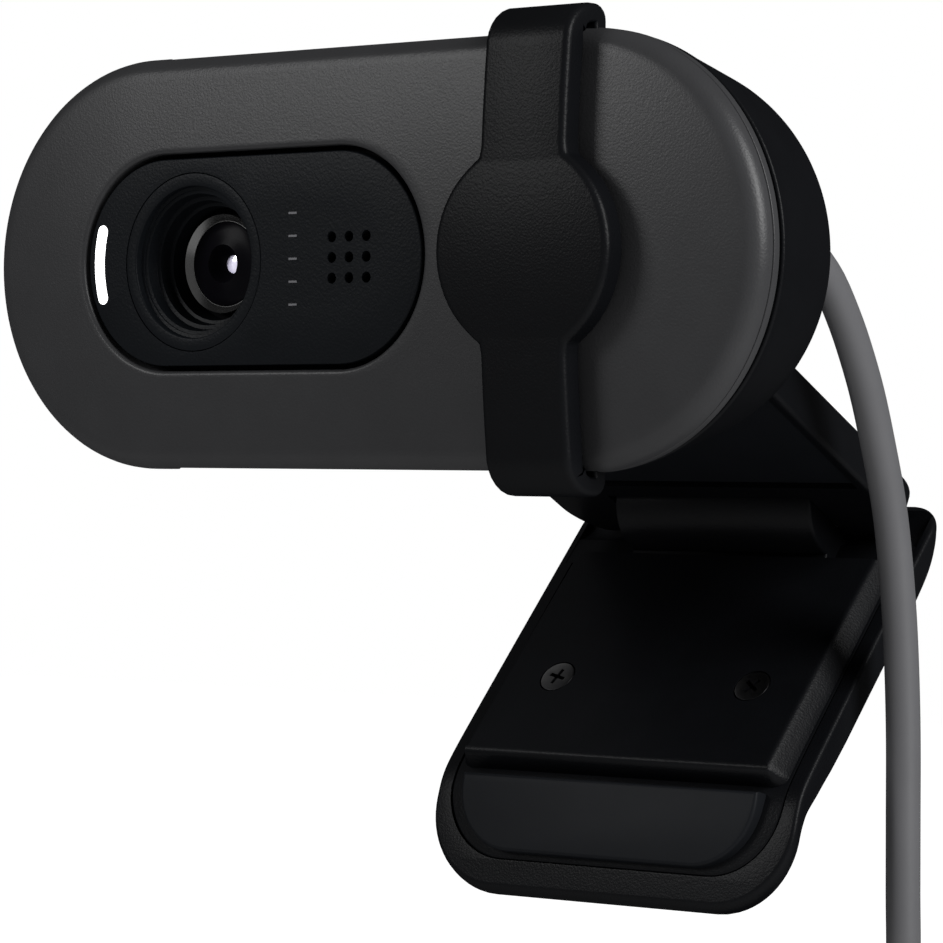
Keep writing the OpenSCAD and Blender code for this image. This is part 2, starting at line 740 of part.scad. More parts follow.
// The rounded heel of the shell, from its back round the hinge's ear to its rim
function heel_curve() = concat(
    [
        for (a = [90:-10:0])
            [heel_len * (1 - cos(a)) - heel, rim_z + heel_t + (foot_t - heel_t) * sin(a)]
    ],
    [
        [-heel, rim_z], [0.5 - heel, rim_z - 0.68 * heel_ear], [1.1 - heel, rim_z - heel_ear],
        [1.4 - heel, rim_z - 0.9 * heel_ear], [1.7 - heel, rim_z - 0.3 * heel_ear],
        [2.2 - heel, rim_z]
    ]
);

module foot_shell() color(black) foot_frame() difference() {
    foot_body(bent(heel_curve(), 0, foot_t + cut, tip_t + cut), 0, 0);
    difference() {
        foot_body(
            bent([
                [plate_s + 0.7, rim_z + foot_t - foot_wall], [plate_s + 0.7, rim_z + plate_t],
                [plate_s, rim_z + plate_t], [plate_s, rim_z - cut]
            ], -cut, foot_t - foot_wall, tip_t - foot_wall),
            plate_edge, plate_end
        );
        for (s = [-1, 1]) translate([s * foot_screw_x, foot_screw_s, rim_z + plate_t])
            cylinder(r = 2, h = foot_t);
    }
    bar(end_clear, -arm_w / 2 - side_play, arm_w / 2 + side_play);
    translate([-arm_w / 2 - side_play, -9, -9])
        cube([arm_w + 2 * side_play, 9 + plate_s, 9 + rim_z]);
    translate([-arm_w / 2 - side_play, -9, 0])
        cube([arm_w + 2 * side_play, 9.2, 9]);
    bar(knuckle_r + 0.02, -knuckle_w / 2 - 0.1, knuckle_w / 2 + 0.1);
    translate([-knuckle_w / 2 - 0.1, -0.2, 0])
        cube([knuckle_w + 0.2, plate_s + 1, rim_z + plate_t + 0.05]);
    for (s = [-1, 1]) translate([s * foot_screw_x, foot_screw_s, rim_z])
        cylinder(r = foot_screw_r, h = foot_t - foot_wall / 2);
}

module foot_plate() color(black) foot_frame() difference() {
    union() {
        foot_body(bent([[plate_s, rim_z + plate_t], [plate_s, rim_z]], 0, plate_t, plate_t),
            plate_edge + 0.15, plate_end + 0.15);
        intersection() {
            prism([
                [plate_s, neck_z], [foot_len - 1.3, top_z - 0.25],
                [foot_len - 1.1, rim_z + 0.2], [plate_s, rim_z + 0.2]
            ], foot_w);
            rotate([-90, 0, 0]) linear_extrude(foot_len) polygon([
                [-plateau_w / 2 - 1.2, -rim_z - 0.1], [plateau_w / 2 + 1.2, -rim_z - 0.1],
                [plateau_w / 2, -top_z + 0.3], [-plateau_w / 2, -top_z + 0.3]
            ]);
        }
        bar(knuckle_r, -knuckle_w / 2, knuckle_w / 2);
        translate([-knuckle_w / 2, 0, neck_z])
            cube([knuckle_w, plate_s + 0.5, rim_z + plate_t - neck_z]);
    }
    bar(clip_pin_r + pin_play, -knuckle_w, knuckle_w);
    for (s = [-1, 1]) translate([s * foot_screw_x, foot_screw_s, 0]) {
        cylinder(r = foot_screw_r + 0.15, h = 9);
        cylinder(r = foot_head_r + 0.12, h = rim_z);
    }
}

module foot_pad() color(rubber) foot_frame() tip_frame() translate([0, 0, -pad_t])
    linear_extrude(pad_t) intersection() {
        translate([-pad_w / 2, 0]) square([pad_w, pad_h]);
        round_rect(pad_w, 2 * pad_h, tip_corner - plate_edge);
    }

module foot_screw(s) color(steel) foot_frame() translate([s * foot_screw_x, foot_screw_s, 0])
    difference() {
        union() {
            translate([0, 0, top_z]) cylinder(r = foot_head_r, h = rim_z - top_z);
            translate([0, 0, rim_z - eps])
                cylinder(r = foot_screw_r, h = foot_t - foot_wall / 2 - 0.3);
        }
        for (a = [0, 90]) rotate(a) translate([-0.7, -0.15, 0]) cube([1.4, 0.3, top_z + 0.6]);
    }

module foot_screw_left() foot_screw(-1);

module foot_screw_right() foot_screw(1);

// ---- Cable ----

module usb_cable() color(grey_cable) {
    sides = 8;
    n = len(route);
    polyhedron(
        points = [for (i = [0:n - 1]) each ring(route, i, cable_d / 2, sides)],
        faces = concat(
            [[for (k = [0:sides - 1]) k]],
            [
                for (i = [0:n - 2], k = [0:sides - 1])
                    let (a = i * sides + k, b = i * sides + (k + 1) % sides)
                    [b, a, a + sides, b + sides]
            ],
            [[for (k = [sides - 1:-1:0]) (n - 1) * sides + k]]
        )
    );
}

module cable_coil() color(grey_cable) translate([coil_x, coil_y, coil_z]) rotate([90, 0, 0])
    rotate_extrude() translate([(coil_r + coil_in) / 2, 0])
        round_rect(coil_r - coil_in + cable_d, coil_t, cable_d / 2);

// The stretch between the coil's last turn and the plug
module cable_tail() color(grey_cable) translate([tail_x, tail_y, plug_top])
    cylinder(r = cable_d / 2, h = tail_len);

module cable_tie() color(black)
    translate([coil_x, coil_y, coil_z - (coil_r + coil_in) / 2]) difference() {
        h = coil_r - coil_in + cable_d + 1.2;
        cube([tie_w, coil_t + 2.4, h + 2.4], center = true);
        cube([tie_w + cut, coil_t, h], center = true);
    }

module plug_grip() color(black) translate([tail_x, tail_y, plug_top]) {
    translate([0, 0, -plug_relief])
        cylinder(r1 = cable_d / 2 + 1.2, r2 = cable_d / 2 + 0.2, h = plug_relief);
    translate([0, 0, -plug_relief - plug_len]) linear_extrude(plug_len)
        rotate(90) round_rect(plug_w, plug_t, 2);
}

module plug_shell() color(steel)
    translate([tail_x, tail_y, plug_top - plug_relief - plug_len - plug_shell_len])
        rotate(90) difference() {
            linear_extrude(plug_shell_len) square([plug_shell_w, plug_shell_t], center = true);
            translate([0, 0, -cut]) linear_extrude(plug_shell_len)
                square([plug_shell_w, plug_shell_t] - 2 * [plug_skin, plug_skin], center = true);
        }

module plug_tongue() color("#e9e9ea")
    translate([tail_x, tail_y, plug_top - plug_relief - plug_len - plug_shell_len])
        rotate(90) translate([-plug_shell_w / 2 + plug_skin, plug_skin - plug_shell_t / 2, 0.4])
            cube([plug_shell_w - 2 * plug_skin, 1.8, plug_shell_len - cut - 0.4]);

module plug_contacts() color("#c9a24a")
    translate([tail_x, tail_y, plug_top - plug_relief - plug_len - plug_shell_len])
        rotate(90) for (i = [0:3])
            translate([(i - 1.5) * 2.3 - 0.5, plug_skin + 1.8 - plug_shell_t / 2, 1.4])
                cube([1, 0.2, 8]);

front_shell();
mid_ring();
rear_shell();
window_panel();
light_pipe();
lens_bezel();
lens_barrel();
front_glass();
inner_glass();
lens_holder();
image_sensor();
main_board();
status_led();
microphone();
cable_socket();
board_screw_left();
board_screw_right();
strain_relief();
shutter();
arm();
seat_pad();
lip_pad();
tilt_pin();
tilt_washer_left();
tilt_washer_right();
clip_pin();
clip_washer_left();
clip_washer_right();
foot_shell();
foot_plate();
foot_pad();
foot_screw_left();
foot_screw_right();
usb_cable();
cable_coil();
cable_tail();
cable_tie();
plug_grip();
plug_shell();
plug_tongue();
plug_contacts();
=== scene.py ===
"""A webcam on a folding monitor clip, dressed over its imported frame.

Lengths are in millimetres in the frame's axes (+X right, -Y front, +Z up) and become metres
where a mesh is made. Sub-assemblies are classes: each builds its meshes and dresses them.
"""
import logging
import math
from dataclasses import dataclass, field
from enum import Enum, IntEnum
from typing import Callable, Iterable, Sequence

import bmesh
import bpy
import numpy as np
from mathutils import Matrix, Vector


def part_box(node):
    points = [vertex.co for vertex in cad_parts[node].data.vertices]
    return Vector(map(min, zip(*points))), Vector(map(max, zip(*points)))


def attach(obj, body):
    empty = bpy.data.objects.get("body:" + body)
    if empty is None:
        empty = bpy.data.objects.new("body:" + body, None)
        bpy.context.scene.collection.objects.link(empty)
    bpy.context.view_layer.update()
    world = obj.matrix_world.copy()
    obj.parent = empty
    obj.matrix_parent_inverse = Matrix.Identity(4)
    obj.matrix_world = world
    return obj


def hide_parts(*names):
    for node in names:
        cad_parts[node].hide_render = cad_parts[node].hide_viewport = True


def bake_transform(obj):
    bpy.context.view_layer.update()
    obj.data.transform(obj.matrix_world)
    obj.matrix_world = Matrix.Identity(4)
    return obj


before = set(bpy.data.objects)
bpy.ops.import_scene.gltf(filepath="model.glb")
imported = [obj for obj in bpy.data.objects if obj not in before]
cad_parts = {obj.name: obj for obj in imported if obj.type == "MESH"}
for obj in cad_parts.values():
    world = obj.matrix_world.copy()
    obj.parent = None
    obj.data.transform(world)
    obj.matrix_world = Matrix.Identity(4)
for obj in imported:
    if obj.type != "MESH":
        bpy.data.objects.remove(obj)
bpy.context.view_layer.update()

MM = 0.001
AXIS_R = 1e-4       # a ring that stands for a point on its axis keeps this radius
CENTRE_R = 0.02     # the same for the middle of a flat end
HOLE_SIDES = 28     # the corners of a small drilled hole
LOG = logging.getLogger("webcam")
Color = tuple[float, float, float]
Triple = tuple[float, float, float]
Profile = Sequence[tuple[float, float]]
Level = Callable[[float], tuple[float, float, float, float]]


class Body(Enum):
    """The rigid bodies that a piece can ride on."""

    ARM = "arm"
    HEAD = "head"
    SHUTTER = "shutter"
    FOOT = "foot"


class Axis(IntEnum):
    """The axes, in the order of a point's coordinates."""

    X = 0
    Y = 1
    Z = 2


# ---------------------------------------------------------------------------------------------
# Finishes


class NodeKit:
    """A thin helper that adds and links the nodes of one material or world."""

    def __init__(self, owner: bpy.types.Material | bpy.types.World) -> None:
        """Starts with an empty tree.

        Args:
            owner: the material or the world that the nodes belong to.
        """
        owner.use_nodes = True
        self.owner = owner
        self.tree = owner.node_tree
        self.tree.nodes.clear()

    def add(self, kind: str, **values: object) -> bpy.types.Node:
        """Adds a node.

        Args:
            kind: the node's type name.
            values: properties of the node, or its inputs where no property has that name.

        Returns:
            The new node.
        """
        node = self.tree.nodes.new(kind)
        for key, value in values.items():
            if hasattr(node, key):
                setattr(node, key, value)
            else:
                node.inputs[key.replace("_", " ")].default_value = value
        return node

    def link(self, source: bpy.types.NodeSocket, target: bpy.types.NodeSocket) -> None:
        """Links an output to an input."""
        self.tree.links.new(source, target)

    def place(self) -> bpy.types.NodeSocket:
        """Returns the piece's own coordinates."""
        return self.add("ShaderNodeTexCoord").outputs["Object"]

    def noise(self, place: bpy.types.NodeSocket, scale: float, detail: float = 2.0) -> bpy.types.NodeSocket:
        """Adds a noise.

        Args:
            place: the coordinates that it is read at.
            scale: its scale.
            detail: its detail.

        Returns:
            Its factor, from 0 to 1.
        """
        texture = self.add("ShaderNodeTexNoise", Scale=scale, Detail=detail)
        self.link(place, texture.inputs["Vector"])
        return texture.outputs["Fac"]

    def spread(self, factor: bpy.types.NodeSocket, low: float, high: float) -> bpy.types.NodeSocket:
        """Spreads a factor from 0 to 1 over a range.

        Args:
            factor: the factor.
            low: the range's start.
            high: the range's end.

        Returns:
            The value within the range.
        """
        ranged = self.add("ShaderNodeMapRange", To_Min=low, To_Max=high)
        self.link(factor, ranged.inputs["Value"])
        return ranged.outputs["Result"]

    def mix(self, first: bpy.types.NodeSocket, second: bpy.types.NodeSocket,
            share: float | bpy.types.NodeSocket) -> bpy.types.NodeSocket:
        """Mixes two shaders.

        Args:
            first: the first shader.
            second: the second shader.
            share: the second one's share.

        Returns:
            The mixed shader.
        """
        both = self.add("ShaderNodeMixShader")
        if isinstance(share, float):
            both.inputs["Fac"].default_value = share
        else:
            self.link(share, both.inputs["Fac"])
        self.link(first, both.inputs[1])
        self.link(second, both.inputs[2])
        return both.outputs[0]

    def glossed(self, matt: bpy.types.Node, gloss: float, rough: bpy.types.NodeSocket,
                normal: bpy.types.NodeSocket | None = None) -> bpy.types.NodeSocket:
        """Lays an even gloss over a shader that has none of its own.

        Args:
            matt: the shader's node.
            gloss: the share of the gloss.
            rough: the roughness of both.
            normal: the normal of both, where there is relief.

        Returns:
            The mixed shader.
        """
        shine = self.add("ShaderNodeBsdfGlossy")
        for part in (matt, shine):
            self.link(rough, part.inputs["Roughness"])
            if normal is not None:
                self.link(normal, part.inputs["Normal"])
        return self.mix(matt.outputs[0], shine.outputs[0], gloss)

    def seen(self) -> bpy.types.NodeSocket:
        """Returns 1 for the rays that meet plain white: the camera's and those in gloss and glass."""
        path = self.add("ShaderNodeLightPath")
        direct = self.add("ShaderNodeMath", operation="MAXIMUM")
        seen = self.add("ShaderNodeMath", operation="MAXIMUM")
        self.link(path.outputs["Is Camera Ray"], direct.inputs[0])
        self.link(path.outputs["Is Transmission Ray"], direct.inputs[1])
        self.link(direct.outputs[0], seen.inputs[0])
        self.link(path.outputs["Is Glossy Ray"], seen.inputs[1])
        return seen.outputs[0]

    def finish(self, shader: bpy.types.NodeSocket) -> bpy.types.Material | bpy.types.World:
        """Ends the tree in its output.

        Args:
            shader: the output socket of the last shader.

        Returns:
            The finished material or world.
        """
        world = isinstance(self.owner, bpy.types.World)
        out = self.add("ShaderNodeOutputWorld" if world else "ShaderNodeOutputMaterial")
        self.link(shader, out.inputs["Surface"])
        return self.owner


@dataclass(frozen=True)
class Moulded:
    """A moulded plastic or rubber with a fine grain in its surface.

    The grain is a pebble's width and depth its height, both in millimetres. Mottle is how far
    the colour drifts, gloss the share of gloss, and wear how far the roughness varies.
    """

    name: str
    color: Color
    roughness: float = 0.5
    grain: float = 0.32
    depth: float = 0.02
    mottle: float = 0.06
    gloss: float = 0.02
    wear: float = 0.05
    cloud_scale: float = 260.0

    def material(self) -> bpy.types.Material:
        """Builds the material: a pebbled grain, a faint mottle and a roughness that varies.

        Returns:
            The node material.
        """
        kit = NodeKit(bpy.data.materials.new(self.name))
        place = kit.place()
        grain = self.grain * MM
        pebble = kit.add("ShaderNodeTexVoronoi", feature="SMOOTH_F1", Scale=1.0 / grain, Smoothness=0.7)
        kit.link(place, pebble.inputs["Vector"])
        crease = kit.noise(place, 0.8 / grain, 3.0)
        relief = kit.add("ShaderNodeMath", operation="ADD")
        kit.link(pebble.outputs["Distance"], relief.inputs[0])
        kit.link(crease, relief.inputs[1])
        bump = kit.add("ShaderNodeBump", Strength=1.0, Distance=self.depth * MM)
        kit.link(relief.outputs[0], bump.inputs["Height"])
        tone = kit.add("ShaderNodeValToRGB")
        stops = zip(tone.color_ramp.elements, (0.3, 0.7), (1.0 - self.mottle, 1.0 + self.mottle))
        for stop, position, share in stops:
            stop.position = position
            stop.color = (*[c * share for c in self.color], 1.0)
        kit.link(kit.noise(place, self.cloud_scale, 4.0), tone.inputs["Fac"])
        rough = kit.spread(crease, self.roughness - self.wear, self.roughness + self.wear)
        matt = kit.add("ShaderNodeBsdfPrincipled", Specular_IOR_Level=0.0)
        kit.link(tone.outputs["Color"], matt.inputs["Base Color"])
        return kit.finish(kit.glossed(matt, self.gloss, rough, bump.outputs["Normal"]))


@dataclass(frozen=True)
class Turned:
    """A metal with fine turning or rolling marks of that scale, and their height in millimetres."""

    name: str
    color: Color
    roughness: float = 0.3
    scratch_scale: float = 3000.0
    scratch_depth: float = 0.004

    def material(self) -> bpy.types.Material:
        """Builds the material: metal whose roughness varies in fine scratches.

        Returns:
            The node material.
        """
        kit = NodeKit(bpy.data.materials.new(self.name))
        scratch = kit.noise(kit.place(), self.scratch_scale, 5.0)
        rough = kit.spread(scratch, self.roughness - 0.08, self.roughness + 0.12)
        bump = kit.add("ShaderNodeBump", Distance=self.scratch_depth * MM)
        kit.link(scratch, bump.inputs["Height"])
        metal = kit.add("ShaderNodeBsdfPrincipled", Base_Color=(*self.color, 1.0), Metallic=1.0)
        kit.link(rough, metal.inputs["Roughness"])
        kit.link(bump.outputs["Normal"], metal.inputs["Normal"])
        return kit.finish(metal.outputs["BSDF"])


@dataclass(frozen=True)
class Polished:
    """Polished plastic or coated glass, with a tint that drifts and a trace of dust."""

    name: str
    color: Color
    tint: Color
    roughness: float = 0.08
    coat: float = 0.0
    gloss: float = 0.02
    dust: float = 0.06
    drift_scale: float = 150.0
    dust_scale: float = 5000.0

    def material(self) -> bpy.types.Material:
        """Builds the material: a gloss over a colour that drifts between two tints.

        Returns:
            The node material.
        """
        kit = NodeKit(bpy.data.materials.new(self.name))
        place = kit.place()
        blend = kit.add("ShaderNodeMix", data_type="RGBA")
        tints = [socket for socket in blend.inputs if socket.type == "RGBA"]
        for socket, color in zip(tints, (self.color, self.tint)):
            socket.default_value = (*color, 1.0)
        kit.link(kit.noise(place, self.drift_scale), blend.inputs["Factor"])
        blended = next(socket for socket in blend.outputs if socket.type == "RGBA")
        rough = kit.spread(kit.noise(place, self.dust_scale), self.roughness, self.roughness + self.dust)
        matt = kit.add("ShaderNodeBsdfPrincipled", Coat_Weight=self.coat, Coat_Roughness=0.03,
                       Specular_IOR_Level=0.0)
        kit.link(blended, matt.inputs["Base Color"])
        return kit.finish(kit.glossed(matt, self.gloss, rough))


@dataclass(frozen=True)
class Lit:
    """A translucent diffuser with a lamp behind it."""

    name: str
    color: Color
    strength: float = 1.0
    haze_scale: float = 600.0

    def material(self) -> bpy.types.Material:
        """Builds the material: a white plastic that also gives off a little light.

        Returns:
            The node material.
        """
        kit = NodeKit(bpy.data.materials.new(self.name))
        color = (*self.color, 1.0)
        rough = kit.spread(kit.noise(kit.place(), self.haze_scale), 0.3, 0.4)
        shader = kit.add("ShaderNodeBsdfPrincipled", Base_Color=color, Emission_Color=color,
                         Emission_Strength=self.strength)
        kit.link(rough, shader.inputs["Roughness"])
        return kit.finish(shader.outputs["BSDF"])


class Finish(Enum):
    """Every finish on the webcam."""

    GRAPHITE = Moulded("graphite_shell", (0.0122, 0.0123, 0.013), 0.36, 0.17, 0.0085, 0.05, 0.0074)
    BLACK = Moulded("black_shell", (0.0014, 0.0015, 0.0018), 0.36, 0.17, 0.0115, 0.08, 0.0028)
    PANEL = Moulded("black_panel", (0.0024, 0.0028, 0.0034), 0.38, 0.19, 0.0125, 0.08, 0.0024)
    RUBBER = Moulded("black_rubber", (0.0028, 0.0031, 0.0037), 0.46, 0.12, 0.003, 0.06, 0.0024)
    CABLE = Moulded("grey_cable", (0.035, 0.035, 0.037), 0.46, 0.5, 0.002, 0.03, 0.015)
    BOARD = Moulded("green_board", (0.01, 0.07, 0.025), 0.35, 0.8, 0.004, 0.1, 0.03)
    IVORY = Moulded("ivory_nylon", (0.72, 0.7, 0.66), 0.45, 0.6, 0.004, 0.02, 0.03)
    # Matt near black for the insides; behind the window's gap it is painted shade.
    SHADOW = Moulded("black_inside_and_painted_shade", (0.0012, 0.0012, 0.0014), 0.6, 0.3, 0.006, 0.05, 0.001)
    MARKS = Moulded("grey_print", (0.062, 0.062, 0.066), 0.6, 0.3, 0.004, 0.03, 0.01)
    GLOSS = Polished("gloss_black", (0.001, 0.001, 0.0012), (0.0016, 0.0016, 0.002), 0.22, 0.0, 0.0012)
    LENS = Polished("coated_glass", (0.0012, 0.0012, 0.0016), (0.002, 0.0018, 0.0026), 0.26, 0.0, 0.0012)
    # The inner glass's pale lilac colours are a painted reflection of the lamps; its coat and gloss are real.
    GLASS_PAINTED_REFLECTION = Polished("inner_glass_painted_reflection", (0.62, 0.58, 0.78), (0.8, 0.78, 0.92), 0.1, 1.0, 0.1)
    STEEL = Turned("steel", (0.56, 0.56, 0.57), 0.32)
    DARK_STEEL = Turned("blackened_steel", (0.009, 0.009, 0.0095), 0.38)
    GOLD = Turned("gold_contact", (0.75, 0.53, 0.2), 0.25)
    LIGHT = Lit("white_diffuser", (1.0, 1.0, 1.0), 1.2)

    def material(self) -> bpy.types.Material:
        """Returns the finish's material, made on first use."""
        return bpy.data.materials.get(self.value.name) or self.value.material()


# ---------------------------------------------------------------------------------------------
# Shapes


def add_object(name: str, data: bpy.types.ID) -> bpy.types.Object:
    """Puts an object with that data into the scene and returns it."""
    added = bpy.data.objects.new(name, data)
    bpy.context.scene.collection.objects.link(added)
    return added


@dataclass(frozen=True)
class Place:
    """A local frame: an origin, and a turn about X in degrees."""

    origin: Triple = (0.0, 0.0, 0.0)
    turn: float = 0.0

    def at(self, points: np.ndarray) -> np.ndarray:
        """Moves points from this frame to the part's frame.

        Args:
            points: an array of points, one a row.

        Returns:
            The moved points.
        """
        c, s = math.cos(math.radians(self.turn)), math.sin(math.radians(self.turn))
        spin = np.array([[1, 0, 0], [0, c, -s], [0, s, c]])
        return np.asarray(points, float) @ spin.T + np.array(self.origin)

    def inner(self, origin: Triple, turn: float) -> "Place":
        """Returns a frame placed within this one."""
        moved = self.at(np.array([origin]))[0]
        return Place(tuple(moved), self.turn + turn)


def arc(x: float, y: float, r: float, a: float, b: float, steps: int) -> list[tuple[float, float]]:
    """Points of an arc.

    Args:
        x: the centre's first coordinate.
        y: the centre's second coordinate.
        r: the radius.
        a: the first angle in degrees.
        b: the last angle in degrees.
        steps: the number of steps.

    Returns:
        The points, both ends included.
    """
    turns = np.radians(np.linspace(a, b, steps + 1))
    return [(x + r * math.cos(t), y + r * math.sin(t)) for t in turns]


def circle(x: float, y: float, r: float, steps: int = 48) -> list[tuple[float, float]]:
    """Points of a full circle, each once.

    Args:
        x: the centre's first coordinate.
        y: the centre's second coordinate.
        r: the radius.
        steps: the number of points.

    Returns:
        The points.
    """
    return arc(x, y, r, 0, 360, steps)[:-1]


def rounding(radius: float, steps: int) -> list[tuple[float, float]]:
    """A quarter round that softens the edge between an end face and the sides.

    Args:
        radius: its radius.
        steps: its steps.

    Returns:
        (inset from the sides, distance from the end face) points, from the end face on.
    """
    turns = np.linspace(0, math.pi / 2, steps + 1)
    return [(radius * (1 - math.sin(t)), radius * (1 - math.cos(t))) for t in turns]


def ease(value: float) -> float:
    """Returns a smooth step: 0 up to 0, 1 from 1 on, with no kink between them."""
    value = min(max(value, 0.0), 1.0)
    return value * value * (3 - 2 * value)


class Surface:
    """The vertices and faces of one piece, gathered in millimetres in a local frame."""

    def __init__(self, rings: Iterable[np.ndarray] = (), torus: bool = False) -> None:
        """Skins a row of rings, if there are any.

        Args:
            rings: the rings, each an array of as many points.
            torus: whether the last ring joins the first; if not, flat faces close the ends.
        """
        self.points: list[np.ndarray] = []
        self.faces: list[tuple[int, ...]] = []
        rows = [self.ring(points) for points in rings]
        for a, b in zip(rows, rows[1:]):
            self.bridge(a, b)
        if torus:
            self.bridge(rows[-1], rows[0])
        elif rows:
            self.faces += [tuple(rows[0]), tuple(rows[-1])]

    def ring(self, points: np.ndarray) -> list[int]:
        """Adds a row of points and returns their numbers."""
        first = len(self.points)
        self.points.extend(np.asarray(points, float))
        return list(range(first, len(self.points)))

    def bridge(self, a: list[int], b: list[int]) -> None:
        """Joins two rings of as many points with quads."""
        for i in range(len(a)):
            j = (i + 1) % len(a)
            self.faces.append((a[i], a[j], b[j], b[i]))

    def piece(
        self, name: str, finish: Finish, place: Place = Place(), crease: float = 38.0
    ) -> bpy.types.Object:
        """Makes the object, with its place in its mesh.

        Args:
            name: the piece's name.
            finish: its finish.
            place: the local frame that the points are in.
            crease: the angle in degrees past which an edge stays sharp.

        Returns:
            The object.
        """
        points = place.at(np.array(self.points)) * MM
        mesh = bpy.data.meshes.new(name)
        mesh.from_pydata(points.tolist(), [], self.faces)
        tidy(mesh, crease)
        mesh.materials.append(finish.material())
        return add_object(name, mesh)


def shade(mesh: bpy.types.Mesh, crease: float) -> None:
    """Shades a mesh smooth up to a crease angle in degrees."""
    mesh.shade_smooth()
    mesh.set_sharp_from_angle(angle=math.radians(crease))


def tidy(mesh: bpy.types.Mesh, crease: float) -> None:
    """Merges doubles, turns faces outwards and shades smooth up to a crease angle.

    Args:
        mesh: the mesh to tidy.
        crease: the angle in degrees past which an edge stays sharp.
    """
    work = bmesh.new()
    work.from_mesh(mesh)
    bmesh.ops.remove_doubles(work, verts=work.verts, dist=0.001 * MM)
    bmesh.ops.dissolve_degenerate(work, edges=work.edges, dist=0.0005 * MM)
    bmesh.ops.recalc_face_normals(work, faces=work.faces)
    work.to_mesh(mesh)
    work.free()
    shade(mesh, crease)


def settle(piece: bpy.types.Object) -> None:
    """Turns a piece's modifiers into plain mesh and removes them."""
    graph = bpy.context.evaluated_depsgraph_get()
    mesh = bpy.data.meshes.new_from_object(piece.evaluated_get(graph))
    old = piece.data
    piece.modifiers.clear()
    piece.data = mesh
    bpy.data.meshes.remove(old)


def carve(piece: bpy.types.Object, tools: Iterable[bpy.types.Object], crease: float = 38.0) -> None:
    """Cuts other solids out of a piece and removes them.

    Args:
        piece: the piece that is cut.
        tools: the solids that are cut away.
        crease: the angle in degrees past which an edge stays sharp.
    """
    for tool in tools:
        cut = piece.modifiers.new("cut", "BOOLEAN")
        cut.operation = "DIFFERENCE"
        cut.solver = "MANIFOLD"
        cut.object = tool
        settle(piece)
        bpy.data.objects.remove(tool)
    shade(piece.data, crease)


def soften(piece: bpy.types.Object, width: float, steps: int = 3) -> None:
    """Rounds a piece's sharp edges and keeps its flats flat.

    Args:
        piece: the piece.
        width: the width of the rounding in millimetres.
        steps: the number of steps in the rounding.
    """
    rounded_from, sharp_from = 40.0, 60.0
    bevel = piece.modifiers.new("bevel", "BEVEL")
    bevel.width = width * MM
    bevel.segments = steps
    bevel.limit_method = "ANGLE"
    bevel.angle_limit = math.radians(rounded_from)
    bevel.use_clamp_overlap = True
    settle(piece)
    shade(piece.data, sharp_from)
    piece.modifiers.new("weigh", "WEIGHTED_NORMAL").keep_sharp = True
    settle(piece)


def join(name: str, pieces: Sequence[bpy.types.Object]) -> bpy.types.Object:
    """Joins several meshes into one piece.

    Args:
        name: the name of the joined piece.
        pieces: the pieces; the first one's object is kept.

    Returns:
        The joined piece.
    """
    with bpy.context.temp_override(
        active_object=pieces[0], object=pieces[0], selected_editable_objects=list(pieces)
    ):
        bpy.ops.object.join()
    pieces[0].name = name
    pieces[0].data.name = name
    return pieces[0]


def hand_over(piece: bpy.types.Object, body: Body, slot: str, *nodes: str) -> bpy.types.Object:
    """Lets a piece ride on a body, in the place of its CAD nodes, and reports it.

    Args:
        piece: the finished piece.
        body: the body that it rides on.
        slot: the record's material slot; not used.
        nodes: the CAD nodes that it stands for.

    Returns:
        The same piece.
    """
    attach(piece, body.value)
    if nodes:
        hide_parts(*nodes)
    LOG.info("%s: %d faces, rides on %s", piece.name, len(piece.data.polygons), body.value)
    return piece


def dress(node: str, finish: Finish) -> None:
    """Gives a CAD node that stays its finish."""
    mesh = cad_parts[node].data
    mesh.materials.clear()
    mesh.materials.append(finish.material())


def corners(node: str) -> list[list[float]]:
    """Returns the lowest and the highest corner of a CAD node's box, in millimetres."""
    return [[v / MM for v in corner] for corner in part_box(node)]


def middle(node: str) -> Triple:
    """Returns the middle of a CAD node's box, in millimetres."""
    low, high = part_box(node)
    return tuple((a + b) / 2 / MM for a, b in zip(low, high))


def low_high(node: str, axis: Axis) -> tuple[float, float]:
    """Returns a CAD node's lowest and highest coordinate on an axis, in millimetres."""
    low, high = corners(node)
    return low[axis], high[axis]


def stadium(half: float, straight: int, curved: int) -> np.ndarray:
    """The spine of a stadium outline: for each point its place on the spine and its direction.

    Args:
        half: half of the straight part.
        straight: the steps along each straight side.
        curved: the steps round each end.

    Returns:
        Rows of (place along X, direction in X, direction in Z).
    """
    rows = []
    for side in (-1, 1):
        for x in np.linspace(side * half, -side * half, straight, endpoint=False):
            rows.append((x, 0.0, side))
        for a in np.radians(np.linspace(side * 90, side * 90 + 180, curved, endpoint=False)):
            rows.append((-side * half, math.cos(a), math.sin(a)))
    return np.array(rows)


def around(spine: np.ndarray, r: float, y: float, shift: float = 0.0) -> np.ndarray:
    """One ring of a stadium-shaped sweep.

    Args:
        spine: the outline's spine, from stadium().
        r: the distance from the spine.
        y: the depth.
        shift: how far the whole ring is moved along X.

    Returns:
        The ring's points.
    """
    return np.stack(
        [spine[:, 0] + r * spine[:, 1] + shift, np.full(len(spine), y), r * spine[:, 2]], axis=1
    )


def turned(profile: Profile, x: float, z: float, steps: int = 96) -> list[np.ndarray]:
    """Rings of a solid of revolution about an axis along Y.

    Args:
        profile: (radius, depth) points.
        x: the axis's place along X.
        z: the axis's height.
        steps: the points of each ring.

    Returns:
        One ring for each profile point.
    """
    a = np.linspace(0, 2 * math.pi, steps, endpoint=False)
    rings = []
    for radius, y in profile:
        r = max(radius, AXIS_R)
        rings.append(np.stack([x + r * np.cos(a), np.full(steps, y), z + r * np.sin(a)], 1))
    return rings


def lifted(flat: Profile | np.ndarray, axis: Axis, level: float) -> np.ndarray:
    """Lifts a flat outline into space.

    Args:
        flat: its points, in the order of the other two axes.
        axis: the axis that it stands square to.
        level: its place on that axis.

    Returns:
        The points in space.
    """
    return np.insert(np.asarray(flat, float), int(axis), level, axis=1)


